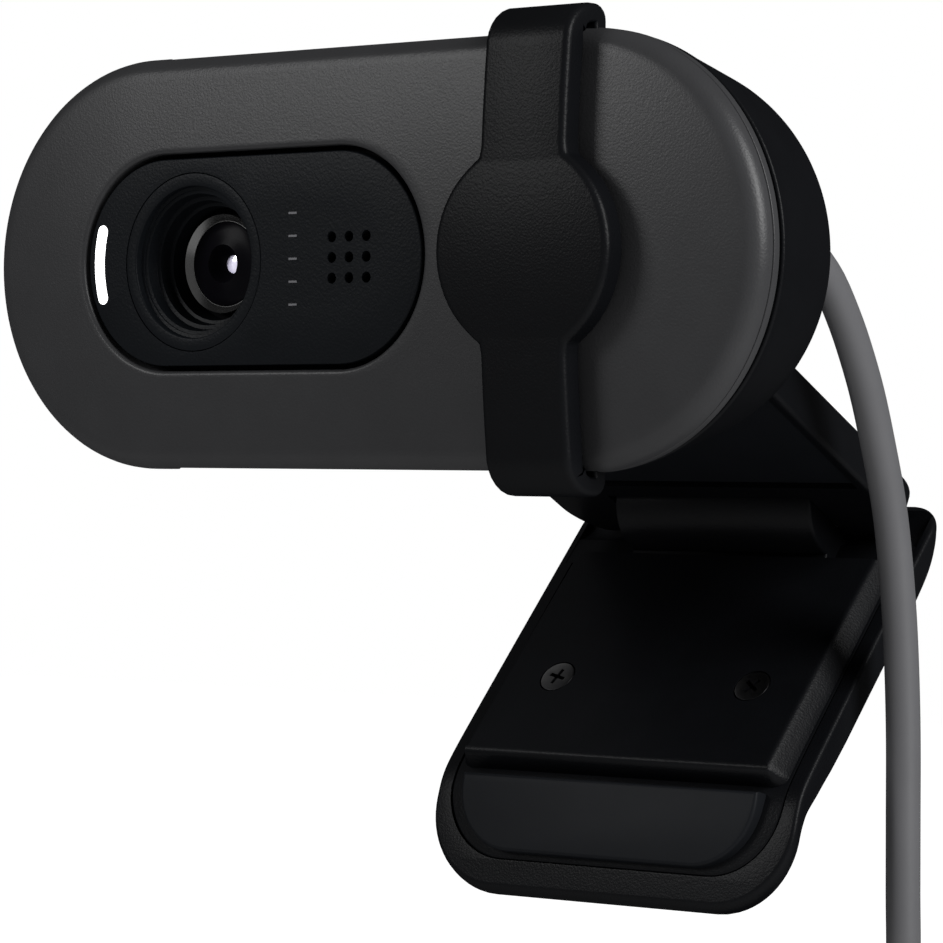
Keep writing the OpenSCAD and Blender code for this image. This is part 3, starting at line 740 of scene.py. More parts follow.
def prism(flat: Profile | np.ndarray, axis: Axis, levels: Iterable[float]) -> Surface:
    """A straight prism.

    Args:
        flat: its outline, in the order of the other two axes.
        axis: the axis that it runs along.
        levels: its two ends on that axis.

    Returns:
        The prism.
    """
    return Surface([lifted(flat, axis, level) for level in levels])


def rolled(outline: Profile, low: float, high: float, edge: float, axis: Axis = Axis.X) -> list[np.ndarray]:
    """Rings of a prism whose two ends have rounded edges.

    Args:
        outline: the cross-section's points, in the order of the other two axes.
        low: where it starts.
        high: where it ends.
        edge: the radius of the edges at its ends.
        axis: the axis that it runs along.

    Returns:
        The rings, from its start to its end.
    """
    flat = np.array(outline, float)
    rings = [(low + drop, inset(flat, by)) for by, drop in rounding(edge, 4)]
    rings += [(low + high - level, ring) for level, ring in reversed(rings)]
    return [lifted(ring, axis, level) for level, ring in rings]


def inset(outline: np.ndarray, by: float) -> np.ndarray:
    """Moves every point of a closed outline inwards along its mitre.

    Args:
        outline: the points, in order.
        by: how far the sides move.

    Returns:
        The moved points.
    """
    sharpest = 0.35
    after = np.roll(outline, -1, axis=0)
    ahead = after - outline
    behind = outline - np.roll(outline, 1, axis=0)
    ahead /= np.linalg.norm(ahead, axis=1)[:, None]
    behind /= np.linalg.norm(behind, axis=1)[:, None]
    area = np.sum(outline[:, 0] * after[:, 1] - after[:, 0] * outline[:, 1])
    side = 1.0 if area > 0 else -1.0
    na = np.stack([-ahead[:, 1], ahead[:, 0]], 1) * side
    nb = np.stack([-behind[:, 1], behind[:, 0]], 1) * side
    mitre = na + nb
    mitre /= np.maximum(np.sum(mitre * na, axis=1), sharpest)[:, None]
    return outline + mitre * by


def box_solid(low: Sequence[float], high: Sequence[float]) -> Surface:
    """A plain box between two opposite corners."""
    (x0, y0, z0), (x1, y1, z1) = low, high
    return prism([(x0, y0), (x1, y0), (x1, y1), (x0, y1)], Axis.Z, (z0, z1))




# ---------------------------------------------------------------------------------------------
# Geometry Nodes


class NodeTree:
    """A Geometry Nodes tree with named inputs that ends in Realize Instances and Set Material."""

    def __init__(self, name: str, finish: Finish, sizes: dict[str, float]) -> None:
        """Starts the tree.

        Args:
            name: the tree's name.
            finish: the finish that Set Material gives.
            sizes: the named inputs and their values.
        """
        self.sizes = sizes
        self.finish = finish
        self.tree = bpy.data.node_groups.new(name, "GeometryNodeTree")
        self.tree.interface.new_socket(
            name="Geometry", in_out="INPUT", socket_type="NodeSocketGeometry"
        )
        for key, value in sizes.items():
            kind = "NodeSocketInt" if isinstance(value, int) else "NodeSocketFloat"
            self.tree.interface.new_socket(name=key, in_out="INPUT", socket_type=kind)
        self.tree.interface.new_socket(
            name="Geometry", in_out="OUTPUT", socket_type="NodeSocketGeometry"
        )
        self.source = self.tree.nodes.new("NodeGroupInput")

    def add(self, kind: str, **properties: object) -> bpy.types.Node:
        """Adds a node and sets its properties.

        Args:
            kind: the node's type name.
            properties: the node's properties.

        Returns:
            The new node.
        """
        node = self.tree.nodes.new(kind)
        for key, value in properties.items():
            setattr(node, key, value)
        return node

    def link(self, source: bpy.types.NodeSocket, target: bpy.types.NodeSocket) -> None:
        """Links an output to an input."""
        self.tree.links.new(source, target)

    def size(self, name: str) -> bpy.types.NodeSocket:
        """Returns the group input with that name."""
        return self.source.outputs[name]

    def vector(self, name: str) -> bpy.types.NodeSocket:
        """Joins the three inputs "name X", "name Y" and "name Z" into a vector."""
        node = self.add("ShaderNodeCombineXYZ")
        for axis in Axis:
            self.link(self.size(f"{name} {axis.name}"), node.inputs[axis.name])
        return node.outputs[0]

    def end(self, geometry: bpy.types.NodeSocket) -> None:
        """Ends the tree in Realize Instances and Set Material."""
        real = self.add("GeometryNodeRealizeInstances")
        paint = self.add("GeometryNodeSetMaterial")
        paint.inputs["Material"].default_value = self.finish.material()
        out = self.add("NodeGroupOutput")
        self.link(geometry, real.inputs[0])
        self.link(real.outputs[0], paint.inputs["Geometry"])
        self.link(paint.outputs[0], out.inputs[0])

    def attach(self, piece: bpy.types.Object) -> None:
        """Puts the tree on a piece as a modifier, with its sizes set."""
        modifier = piece.modifiers.new(self.tree.name, "NODES")
        modifier.node_group = self.tree
        for item in self.tree.interface.items_tree:
            if item.in_out == "INPUT" and item.name in self.sizes:
                modifier[item.identifier] = self.sizes[item.name]

    def apply(self, piece: bpy.types.Object) -> None:
        """Runs the tree on a mesh piece and turns the result into plain mesh."""
        self.attach(piece)
        settle(piece)


def in_metres(name: str, triple: Triple) -> dict[str, float]:
    """Returns the three inputs of NodeTree.vector(), in metres."""
    return {f"{name} {axis.name}": value * MM for axis, value in zip(Axis, triple)}


def perforate(piece: bpy.types.Object, finish: Finish, count: int, pitch: tuple[float, float],
              radius: float, depth: float, centre: Triple) -> None:
    """Drills a square grid of small holes along Y.

    Args:
        piece: the piece that is drilled.
        finish: its finish.
        count: the holes in a row and in a column.
        pitch: the distances between holes along X and Z.
        radius: the radius of a hole.
        depth: the length of the drill.
        centre: the middle of the grid.
    """
    width, height = (gap * (count - 1) * MM for gap in pitch)
    tree = NodeTree("drilled_grid", finish, {
        "Count": count, "Width": width, "Height": height, "Radius": radius * MM, "Depth": depth * MM,
        **in_metres("Place", centre),
    })
    grid = tree.add("GeometryNodeMeshGrid")
    drill = tree.add("GeometryNodeMeshCylinder")
    drill.inputs["Vertices"].default_value = HOLE_SIDES
    spots = tree.add("GeometryNodeInstanceOnPoints")
    real = tree.add("GeometryNodeRealizeInstances")
    move = tree.add("GeometryNodeTransform")
    move.inputs["Rotation"].default_value = (math.radians(90), 0.0, 0.0)
    cut = tree.add("GeometryNodeMeshBoolean", operation="DIFFERENCE", solver="MANIFOLD")
    for source, target in (
        ("Width", grid.inputs["Size X"]), ("Height", grid.inputs["Size Y"]),
        ("Count", grid.inputs["Vertices X"]), ("Count", grid.inputs["Vertices Y"]),
        ("Radius", drill.inputs["Radius"]), ("Depth", drill.inputs["Depth"]),
    ):
        tree.link(tree.size(source), target)
    tree.link(tree.vector("Place"), move.inputs["Translation"])
    tree.link(grid.outputs[0], spots.inputs["Points"])
    tree.link(drill.outputs["Mesh"], spots.inputs["Instance"])
    tree.link(spots.outputs[0], real.inputs[0])
    tree.link(real.outputs[0], move.inputs["Geometry"])
    tree.link(tree.size("Geometry"), cut.inputs["Mesh 1"])
    tree.link(move.outputs[0], cut.inputs["Mesh 2"])
    tree.end(cut.outputs["Mesh"])
    tree.apply(piece)


def row_of_bars(name: str, finish: Finish, count: int, step: Triple, size: Triple,
                start: Triple) -> bpy.types.Object:
    """A straight row of small equal bars.

    Args:
        name: the piece's name.
        finish: its finish.
        count: the number of bars.
        step: the way from one bar to the next.
        size: a bar's width, depth and height.
        start: the middle of the first bar.

    Returns:
        The bars as one piece.
    """
    tree = NodeTree(name, finish, {
        "Count": count, **in_metres("Step", step), **in_metres("Size", size), **in_metres("Start", start),
    })
    line = tree.add("GeometryNodeMeshLine", mode="OFFSET")
    bar = tree.add("GeometryNodeMeshCube")
    spots = tree.add("GeometryNodeInstanceOnPoints")
    tree.link(tree.size("Count"), line.inputs["Count"])
    tree.link(tree.vector("Start"), line.inputs["Start Location"])
    tree.link(tree.vector("Step"), line.inputs["Offset"])
    tree.link(tree.vector("Size"), bar.inputs["Size"])
    tree.link(line.outputs[0], spots.inputs["Points"])
    tree.link(bar.outputs["Mesh"], spots.inputs["Instance"])
    tree.end(spots.outputs[0])
    piece = add_object(name, bpy.data.meshes.new(name))
    tree.apply(piece)
    return piece


def tube_along(name: str, finish: Finish, path: np.ndarray, radius: float, sides: int) -> bpy.types.Object:
    """A round tube that follows a path.

    Args:
        name: the piece's name.
        finish: its finish.
        path: the centreline's points.
        radius: the tube's radius.
        sides: the corners of its cross-section.

    Returns:
        The tube as a mesh object.
    """
    curve = bpy.data.curves.new(name, "CURVE")
    curve.dimensions = "3D"
    spline = curve.splines.new("POLY")
    spline.points.add(len(path) - 1)
    for point, place in zip(spline.points, path * MM):
        point.co = (*place, 1.0)
    line = add_object(name + "_line", curve)
    tree = NodeTree(name + "_tube", finish, {"Radius": radius * MM, "Sides": sides})
    ring = tree.add("GeometryNodeCurvePrimitiveCircle")
    sweep = tree.add("GeometryNodeCurveToMesh")
    sweep.inputs["Fill Caps"].default_value = True
    smooth = tree.add("GeometryNodeSetShadeSmooth")
    tree.link(tree.size("Radius"), ring.inputs["Radius"])
    tree.link(tree.size("Sides"), ring.inputs["Resolution"])
    tree.link(tree.size("Geometry"), sweep.inputs["Curve"])
    tree.link(ring.outputs["Curve"], sweep.inputs["Profile Curve"])
    tree.link(sweep.outputs[0], smooth.inputs["Geometry"])
    tree.end(smooth.outputs[0])
    tree.attach(line)
    graph = bpy.context.evaluated_depsgraph_get()
    mesh = bpy.data.meshes.new_from_object(line.evaluated_get(graph))
    mesh.name = name
    bpy.data.objects.remove(line)
    bpy.data.curves.remove(curve)
    return add_object(name, mesh)


# ---------------------------------------------------------------------------------------------
# Frames of reference


@dataclass
class Layout:
    """Places that the sub-assemblies share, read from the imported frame.

    Relief is where the cable leaves its sleeve, in the head's frame. Slopes are in degrees.
    """

    head: Place = field(init=False)
    arm: Place = field(init=False)
    foot: Place = field(init=False)
    lens_x: float = field(init=False)
    shutter_x: float = field(init=False)
    arm_slope: float = 28.0
    foot_slope: float = 45.0
    relief: Triple = (20.5, 25.0, 3.4)

    def __post_init__(self) -> None:
        """Reads the places."""
        shell_z = low_high("front_shell", Axis.Z)
        self.head = Place((0.0, low_high("front_shell", Axis.Y)[0], sum(shell_z) / 2))
        self.arm = Place(middle("tilt_pin"), -self.arm_slope)
        self.foot = Place(middle("clip_pin"), 180.0 + self.foot_slope)
        self.lens_x = middle("lens_barrel")[0]
        self.shutter_x = middle("shutter")[0]


# ---------------------------------------------------------------------------------------------
# Head


@dataclass
class Head:
    """The capsule-shaped head: shells, window, lens and what shows of the inside.

    Its outline is a stadium: half is half of the straight part, and end_r is the distance from
    the middle line to the rim. Depths count from the foremost point of the front cover.
    """

    layout: Layout
    half: float = 20.6
    end_r: float = 16.0
    crown_r: float = 135.0
    depth: float = 18.9
    front_fillet: float = 1.7
    front_depth: float = 2.5
    front_land: float = 1.6
    front_nick: float = 0.06
    wall: float = 1.3
    ring_back: float = 3.45
    skirt: tuple[float, float] = (13.08, 14.18)
    skirt_back: float = 5.5
    rear_y: float = 4.0
    rear_step: float = 0.1
    rear_edge: float = 0.25
    rear_draft: float = 12.0
    rear_fillet: float = 9.0
    rear_wall: float = 1.7
    rear_flat: float = 2.7
    boss_r: float = 3.1
    boss_half: float = 7.0
    boss_bore: float = 1.32
    gland_r: float = 2.15
    window_x: float = -9.3
    window_half: float = 8.6
    window_r: float = 8.4
    window_lip: float = 0.35
    window_gap: float = 0.4
    window_recess: float = 0.35
    window_t: float = 1.2
    gap_shade_y: tuple[float, float] = (1.75, 1.85)
    light_r: float = 9.7
    light_w: float = 1.05
    light_angle: float = 15.5
    bezel_r: float = 6.85
    mic_x: float = 0.4
    mic_count: int = 3
    mic_pitch: tuple[float, float] = (1.66, 1.55)
    mic_r: float = 0.42
    marks_x: float = -5.07
    marks_pitch: float = 1.73
    mark: Triple = (0.8, 0.012, 0.16)
    channel_y: tuple[float, float] = (1.87, 3.73)
    channel_z: float = 15.02
    channel_x: tuple[float, float] = (-19.03, 22.03)

    def sag(self, r: float) -> float:
        """Returns the crowned front's depth at a distance from the middle line."""
        r = min(abs(r), self.crown_r)
        return self.crown_r - math.sqrt(self.crown_r**2 - r * r)

    def crowned(self, row: np.ndarray, behind: float) -> np.ndarray:
        """Returns a row of points with their depths set to the crowned front's, or behind it."""
        out = row.copy()
        out[:, 1] = [self.sag(math.hypot(max(abs(x) - self.half, 0.0), z)) + behind for x, _, z in row]
        return out

    def build(self) -> None:
        """Builds every piece of the head."""
        self.front_shell()
        self.mid_ring()
        self.rear_shell()
        self.window()
        self.light()
        self.lens()
        self.strain_relief()

    def front_shell(self) -> None:
        """The crowned front cover with its window, a thin lip round it and the tooth channels."""
        spine = stadium(self.half, 48, 72)
        inner = stadium(self.window_half, 48, 72)
        fillet = self.front_fillet
        outer_r = self.end_r - fillet
        top = self.sag(outer_r)
        hole = around(inner, self.window_r + self.window_lip, 0.0, self.window_x)
        # the window's wall and its lip, from the inside to the face
        rows = [around(inner, self.window_r, self.wall + 1.0, self.window_x)]
        for behind, out in rounding(self.window_lip, 4):
            rows.append(self.crowned(around(inner, self.window_r + out, 0.0, self.window_x), behind))
        # the face, from the window to the outer fillet, and the seam's land
        outer = around(spine, outer_r, top)
        for t in np.linspace(0, 1, 30)[1:]:
            rows.append(self.crowned(hole * (1 - t) + outer * t, 0.0))
        edge = arc(outer_r, top + fillet, fillet, -84, 0, 8)[1:]
        nick, back = self.front_nick, self.front_depth
        edge += [(self.end_r, back - nick), (self.end_r - nick, back), (self.end_r - self.front_land, back)]
        rows += [around(spine, r, y) for r, y in edge]
        # the back of the face
        land = around(spine, self.end_r - self.front_land, 0)
        for t in np.linspace(0, 1, 6):
            rows.append(self.crowned(land * (1 - t) + hole * t, self.wall))
        piece = Surface(rows, torus=True).piece("front_cover", Finish.GRAPHITE, self.layout.head, 50)
        carve(piece, self.channels(), 50)
        hand_over(piece, Body.HEAD, "shell_graphite", "front_shell")

    def channels(self) -> list[bpy.types.Object]:
        """Returns the solids of the two channels that the shutter's teeth slide in."""
        tools = []
        for side in (-1, 1):
            low, high = sorted((side * self.channel_z, side * (self.end_r + 2)))
            ends = [(x, y, z) for x, y, z in zip(self.channel_x, self.channel_y, (low, high))]
            tools.append(box_solid(*ends).piece("channel", Finish.SHADOW, self.layout.head))
        return tools

    def mid_ring(self) -> None:
        """The thin ring between the covers, whose skirt reaches into the rear cover."""
        r, y0, y1 = self.end_r, self.front_depth, self.ring_back
        skirt_in, skirt_out = self.skirt
        profile = [
            (skirt_in, y0), (r - 0.3, y0), (r - 0.3, y0 + 0.15), (r - 0.1, y0 + 0.15),
            *arc(r - 0.1, y0 + 0.25, 0.1, -90, 0, 3), *arc(r - 0.2, y1 - 0.2, 0.2, 0, 90, 4),
            (skirt_out, y1), (skirt_out, self.skirt_back), (skirt_in, self.skirt_back),
        ]
        spine = stadium(self.half, 40, 72)
        solid = Surface([around(spine, r, y) for r, y in profile], torus=True)
        piece = solid.piece("middle_ring", Finish.GRAPHITE, self.layout.head, 50)
        carve(piece, self.channels(), 50)
        hand_over(piece, Body.HEAD, "shell_graphite", "mid_ring")

    def rear_shell(self) -> None:
        """The drafted rear cover with its large rounding, the tilt boss and the cable's hole."""
        draft = math.radians(self.rear_draft)
        rim_r = self.end_r - self.rear_step
        side_y = self.depth - self.rear_fillet
        side_r = rim_r - (side_y - self.rear_y) * math.tan(draft)
        centre_r = side_r - self.rear_fillet / math.cos(draft)
        edge, wall = self.rear_edge, self.rear_wall
        outside = [(rim_r - edge, self.rear_y), *arc(rim_r - edge, self.rear_y + edge, edge, -70, -8, 4)]
        for y in np.linspace(self.rear_y + 0.4, side_y + 1.8, 8):
            outside.append((rim_r - (y - self.rear_y) * math.tan(draft), y))
        outside += arc(centre_r, side_y, self.rear_fillet, self.rear_draft, 90, 22)
        outside += [(self.rear_flat, self.depth), (CENTRE_R, self.depth)]
        inside = [(CENTRE_R, self.depth - wall), (self.rear_flat, self.depth - wall)]
        inside += arc(centre_r, side_y, self.rear_fillet - wall, 90, self.rear_draft, 14)
        inside += [(rim_r - wall, self.rear_y + 0.1), (rim_r - wall, self.rear_y)]
        spine = stadium(self.half, 56, 96)
        solid = Surface([around(spine, r, y) for r, y in outside + inside], torus=True)
        self.tilt_boss(solid.piece("rear_cover", Finish.BLACK, self.layout.head, 45))

    def tilt_boss(self, shell: bpy.types.Object) -> None:
        """Adds the boss that the tilt pin runs through, and cuts the cable's hole.

        Args:
            shell: the rear cover.
        """
        place = self.layout.head
        y, z = (self.layout.arm.origin[axis] - place.origin[axis] for axis in (Axis.Y, Axis.Z))
        root = self.depth - 1.2
        outline = [(root, z + self.boss_r), *arc(y, z, self.boss_r, 90, -90, 28), (root, z - self.boss_r)]
        half = self.boss_half
        boss = Surface(rolled(outline, -half, half, 0.35)).piece("boss", Finish.BLACK, place)
        bore = prism(circle(y, z, self.boss_bore), Axis.X, (-half - 2, half + 2))
        carve(boss, [bore.piece("bore", Finish.SHADOW, place)])
        x, _, height = self.layout.relief
        gland = turned([(self.gland_r, self.depth - 3), (self.gland_r, self.depth + 1)], x, height, 48)
        carve(shell, [Surface(gland).piece("gland", Finish.SHADOW, place)], 45)
        hand_over(join("rear_cover", [shell, boss]), Body.HEAD, "shell_black", "rear_shell")

    def window(self) -> None:
        """The window panel, its microphone holes, its plain marks and a dark sheet behind the gap, which is
        painted shade.
        """
        place = self.layout.head
        x0, y0, z0 = place.origin
        spine = stadium(self.window_half, 48, 72)
        r = self.window_r - self.window_gap
        front, back, edge = self.window_recess, self.window_recess + self.window_t, 0.15
        profile = [(CENTRE_R, front), (r * 0.5, front), *arc(r - edge, front + edge, edge, -90, 0, 4),
                   (r, back), (CENTRE_R, back)]
        solid = Surface([around(spine, d, y, self.window_x) for d, y in profile])
        piece = solid.piece("window_panel", Finish.PANEL, place, 45)
        through = (-1.0, 3.0)
        hole_r = self.bezel_r + 0.06
        lens_hole = Surface(turned([(hole_r, y) for y in through], self.layout.lens_x, 0, 128))
        slot = self.slot_solid(self.light_w / 2, *through)
        tools = [(lens_hole, "lens_hole"), (slot, "slot")]
        carve(piece, [tool.piece(name, Finish.SHADOW, place) for tool, name in tools], 45)
        centre = (x0 + self.mic_x, y0 + front + 0.6, z0)
        perforate(piece, Finish.PANEL, self.mic_count, self.mic_pitch, self.mic_r, 4.0, centre)
        shade(piece.data, 45)
        hand_over(piece, Body.HEAD, "panel_black", "window_panel")
        top_mark = (x0 + self.marks_x, y0 + front - 0.004, z0 + 2 * self.marks_pitch)
        step = (0.0, 0.0, -self.marks_pitch)
        marks = row_of_bars("panel_marks", Finish.MARKS, 5, step, self.mark, top_mark)
        hand_over(marks, Body.HEAD, "panel_black")
        # A thin dark sheet behind the gap round the panel: painted shade that closes the gap.
        near, far = self.gap_shade_y
        outer, inner = self.window_r + 0.3, self.window_r - 1.2
        section = ((outer, near), (outer, far), (inner, far), (inner, near))
        gap_shade = Surface([around(spine, d, y, self.window_x) for d, y in section], torus=True)
        hand_over(gap_shade.piece("window_gap_painted_shade", Finish.SHADOW, place), Body.HEAD, "shell_black")

    def slot_solid(self, half_w: float, front: float, back: float) -> Surface:
        """The light's curved slot as a solid round the lens axis.

        Args:
            half_w: half of its width.
            front: its front.
            back: its back.

        Returns:
            The solid.
        """
        outline = []
        for side in (1, -1):
            radius = self.light_r + side * half_w
            for a in np.linspace(-self.light_angle, self.light_angle, 25)[::side]:
                t = math.radians(180 + a)
                outline.append((radius * math.cos(t), radius * math.sin(t)))
            end = math.radians(180 + side * self.light_angle)
            x, z = self.light_r * math.cos(end), self.light_r * math.sin(end)
            first = end if side > 0 else end + math.pi
            for k in range(1, 10):
                t = first + math.pi * k / 10
                outline.append((x + half_w * math.cos(t), z + half_w * math.sin(t)))
        return prism(np.array(outline) + [self.layout.lens_x, 0.0], Axis.Y, (front, back))

    def light(self) -> None:
        """The lit diffuser in its slot, which stands a hair clear of the slot's edge."""
        clear = 0.02
        solid = self.slot_solid(self.light_w / 2 - clear, self.window_recess + clear, 2.6)
        piece = solid.piece("light_diffuser", Finish.LIGHT, self.layout.head)
        hand_over(piece, Body.HEAD, "light_white", "light_pipe")

    def lathe(self, name: str, profile: Profile, finish: Finish, closed: bool = True) -> bpy.types.Object:
        """A ring turned about the lens axis.

        Args:
            name: the piece's name.
            profile: (radius, depth) points.
            finish: the finish.
            closed: whether the profile is a closed ring, or starts and ends on the axis.

        Returns:
            The piece.
        """
        solid = Surface(turned(profile, self.layout.lens_x, 0, 128), torus=closed)
        return solid.piece(name, finish, self.layout.head, 32)

    def lens(self) -> None:
        """The lens: stepped funnel, chamfered barrel, gloss dish and the inner glass, whose bright pale lilac
        colour is a painted reflection.
        """
        r, y0 = self.bezel_r, self.window_recess
        funnel = [
            (r, 2.2), (r, y0 + 0.07), *arc(r - 0.07, y0 + 0.07, 0.07, 0, -90, 3),
            (6.0, y0), *arc(6.0, y0 + 0.14, 0.14, -90, -180, 4), (5.84, 0.95),
            (5.6, 1.0), (5.58, 1.12), (5.32, 1.16), (5.18, 1.95), (5.14, 2.04), (4.84, 2.1),
            (4.74, 3.0), (4.7, 3.08), (4.45, 3.14), (4.42, 3.9), (4.36, 5.0), (5.6, 5.0), (5.6, 2.6),
        ]
        barrel = [
            (3.88, 8.5), (3.88, 3.92), *arc(3.78, 3.92, 0.1, 0, -60, 4), (3.45, 4.2), (3.36, 4.3),
            (3.32, 4.3), (3.3, 4.45), (3.3, 8.5),
        ]
        dish = [
            (3.28, 4.6), (3.28, 4.34), (3.2, 4.28), (2.6, 4.2), (2.0, 4.05), (1.6, 3.9),
            (1.5, 3.87), (1.45, 3.92), (1.2, 4.4), (0.8, 5.0), (0.72, 5.05), (0.72, 5.3), (3.0, 5.3),
        ]
        # the inner glass, its bright colour a painted reflection
        painted_glass = [(0.0, 5.1), (0.3, 5.12), (0.7, 5.2), (0.7, 5.6), (0.0, 5.6)]
        for name, profile, finish, slot, node in (
            ("lens_funnel", funnel, Finish.PANEL, "gloss_black", "lens_bezel"),
            ("lens_barrel_ring", barrel, Finish.GLOSS, "gloss_black", "lens_barrel"),
            ("lens_dish", dish, Finish.LENS, "lens_glass", "front_glass"),
            ("lens_glass_painted_reflection", painted_glass, Finish.GLASS_PAINTED_REFLECTION, "lens_glass", "inner_glass"),
        ):
            hand_over(self.lathe(name, profile, finish, profile is not painted_glass), Body.HEAD, slot, node)

    def strain_relief(self) -> None:
        """The collar and ribbed sleeve where the cable leaves the head."""
        d = self.depth
        x, end, z = self.layout.relief
        profile = [(0.0, d - 2.5), (3.0, d - 2.5), (3.0, d - 1.7), (2.12, d - 1.7), (2.12, d), (2.6, d),
                   *arc(2.5, d + 0.8, 0.2, 0, 90, 4)]
        pitch, groove = 0.9, 0.22
        for k in range(5):
            y = d + 1.35 + k * pitch
            r = 2.25 - k * 0.08
            profile += [(r - groove, y), (r - groove, y + 0.3), (r, y + 0.4), (r, y + 0.8)]
        profile += [(1.85, end - 0.05), (1.5, end), (0.0, end)]
        piece = Surface(turned(profile, x, z, 64)).piece("cable_relief", Finish.RUBBER, self.layout.head, 35)
        hand_over(piece, Body.HEAD, "rubber_black", "strain_relief")


# ---------------------------------------------------------------------------------------------
# Shutter


@dataclass
class Shutter:
    """The privacy shutter: a strap that hooks over the head, with a disc in its middle.

    Bridge is its thickness over the head, the corners are the radii of its outer bends, tooth
    holds the depths of a tooth's two sides, and reach is how near the middle line the teeth come.
    """

    layout: Layout
    head: Head
    half_w: float = 3.75
    disc_r: float = 7.7
    thick: float = 2.0
    gap: float = 0.28
    bridge: float = 1.45
    corner: float = 3.2
    rear_corner: float = 1.2
    tooth: tuple[float, float] = (2.05, 3.55)
    reach: float = 15.2
    edge: float = 0.55
    back_edge: float = 0.25
    blend: float = 0.1225
    blend_z: float = 6.75
    blend_span: float = 0.5

    def path(self) -> list[tuple[float, float, float, float]]:
        """Stations along the strap, from its lower tooth to its upper one.

        Returns:
            Rows of the outer side's depth and height and the inner side's depth and height.
        """
        head, k = self.head, self.rear_corner
        near, far = self.tooth
        inner_z = head.end_r + self.gap
        outer_z = inner_z + self.bridge
        stop = outer_z - self.corner
        upper: list[tuple[float, float, float, float]] = []
        # the front, with close stations where the disc meets the strap
        spans = (np.linspace(0, 4.4, 8), np.linspace(4.6, 8.2, 19), np.linspace(8.6, stop, 10))
        for z in np.concatenate(spans):
            inner_y = head.sag(z) - self.gap
            upper.append((inner_y - self.thick, z, inner_y, z))
        # the bend over the head's edge
        y = head.sag(head.end_r - 1.5) - self.gap
        inner = [
            (y + 0.02, stop + 0.6), (y + 0.05, stop + 1.1), (y + 0.12, stop + 1.5),
            (y + 0.3, inner_z - 0.7), (y + 0.5, inner_z - 0.25), (y + 0.9, inner_z - 0.04),
            (y + 1.4, inner_z),
        ]
        bend_y = head.sag(stop) - self.gap - self.thick + self.corner
        outer = arc(bend_y, stop, self.corner, 170, 90, len(inner) - 1)
        upper += [(*out, *back) for out, back in zip(outer, inner)]
        # the bend down into the tooth
        upper.append((far - k - 0.1, outer_z, near - 0.05, inner_z))
        for i, (y, z) in enumerate(arc(far - k, outer_z - k, k, 80, 0, 4)):
            upper.append((y, z, near, inner_z - 0.02 * i))
        for z in np.linspace(outer_z - k - 0.1, self.reach + 0.1, 4):
            upper.append((far, z, near, min(z, inner_z - 0.12)))
        upper.append((far - 0.1, self.reach, near + 0.1, self.reach))
        lower = [(a, -b, c, -d) for a, b, c, d in reversed(upper[1:])]
        return lower + upper

    def half_at(self, height: float, inset_by: float) -> float:
        """Returns half of the width at a height, a rounding's inset taken off."""
        strap = self.half_w - inset_by
        disc = math.sqrt(max((self.disc_r - inset_by) ** 2 - height**2, 0.0))
        blend = self.blend * math.exp(-(((abs(height) - self.blend_z) / self.blend_span) ** 2))
        return max(strap, disc) + blend

    def build(self) -> None:
        """Builds the shutter as one rounded strip."""
        rings = []
        for outer_y, outer_z, inner_y, inner_z in self.path():
            outer, inner = np.array([outer_y, outer_z]), np.array([inner_y, inner_z])
            span = np.linalg.norm(inner - outer)
            away = (inner - outer) / max(span, 1e-6)
            front = rounding(min(self.edge, span * 0.45), 5)
            back = rounding(min(self.back_edge, span * 0.3), 5)
            section = [(self.half_at(outer_z, by), *(outer + away * drop)) for by, drop in front]
            section += [(self.half_at(outer_z, by), *(inner - away * drop)) for by, drop in reversed(back)]
            ring = np.array(section + [(-x, y, z) for x, y, z in reversed(section)])
            rings.append(ring + [self.layout.shutter_x, 0.0, 0.0])
        piece = Surface(rings).piece("shutter_strap", Finish.BLACK, self.layout.head, 50)
        hand_over(piece, Body.SHUTTER, "shell_black", "shutter")


# ---------------------------------------------------------------------------------------------
# Arm


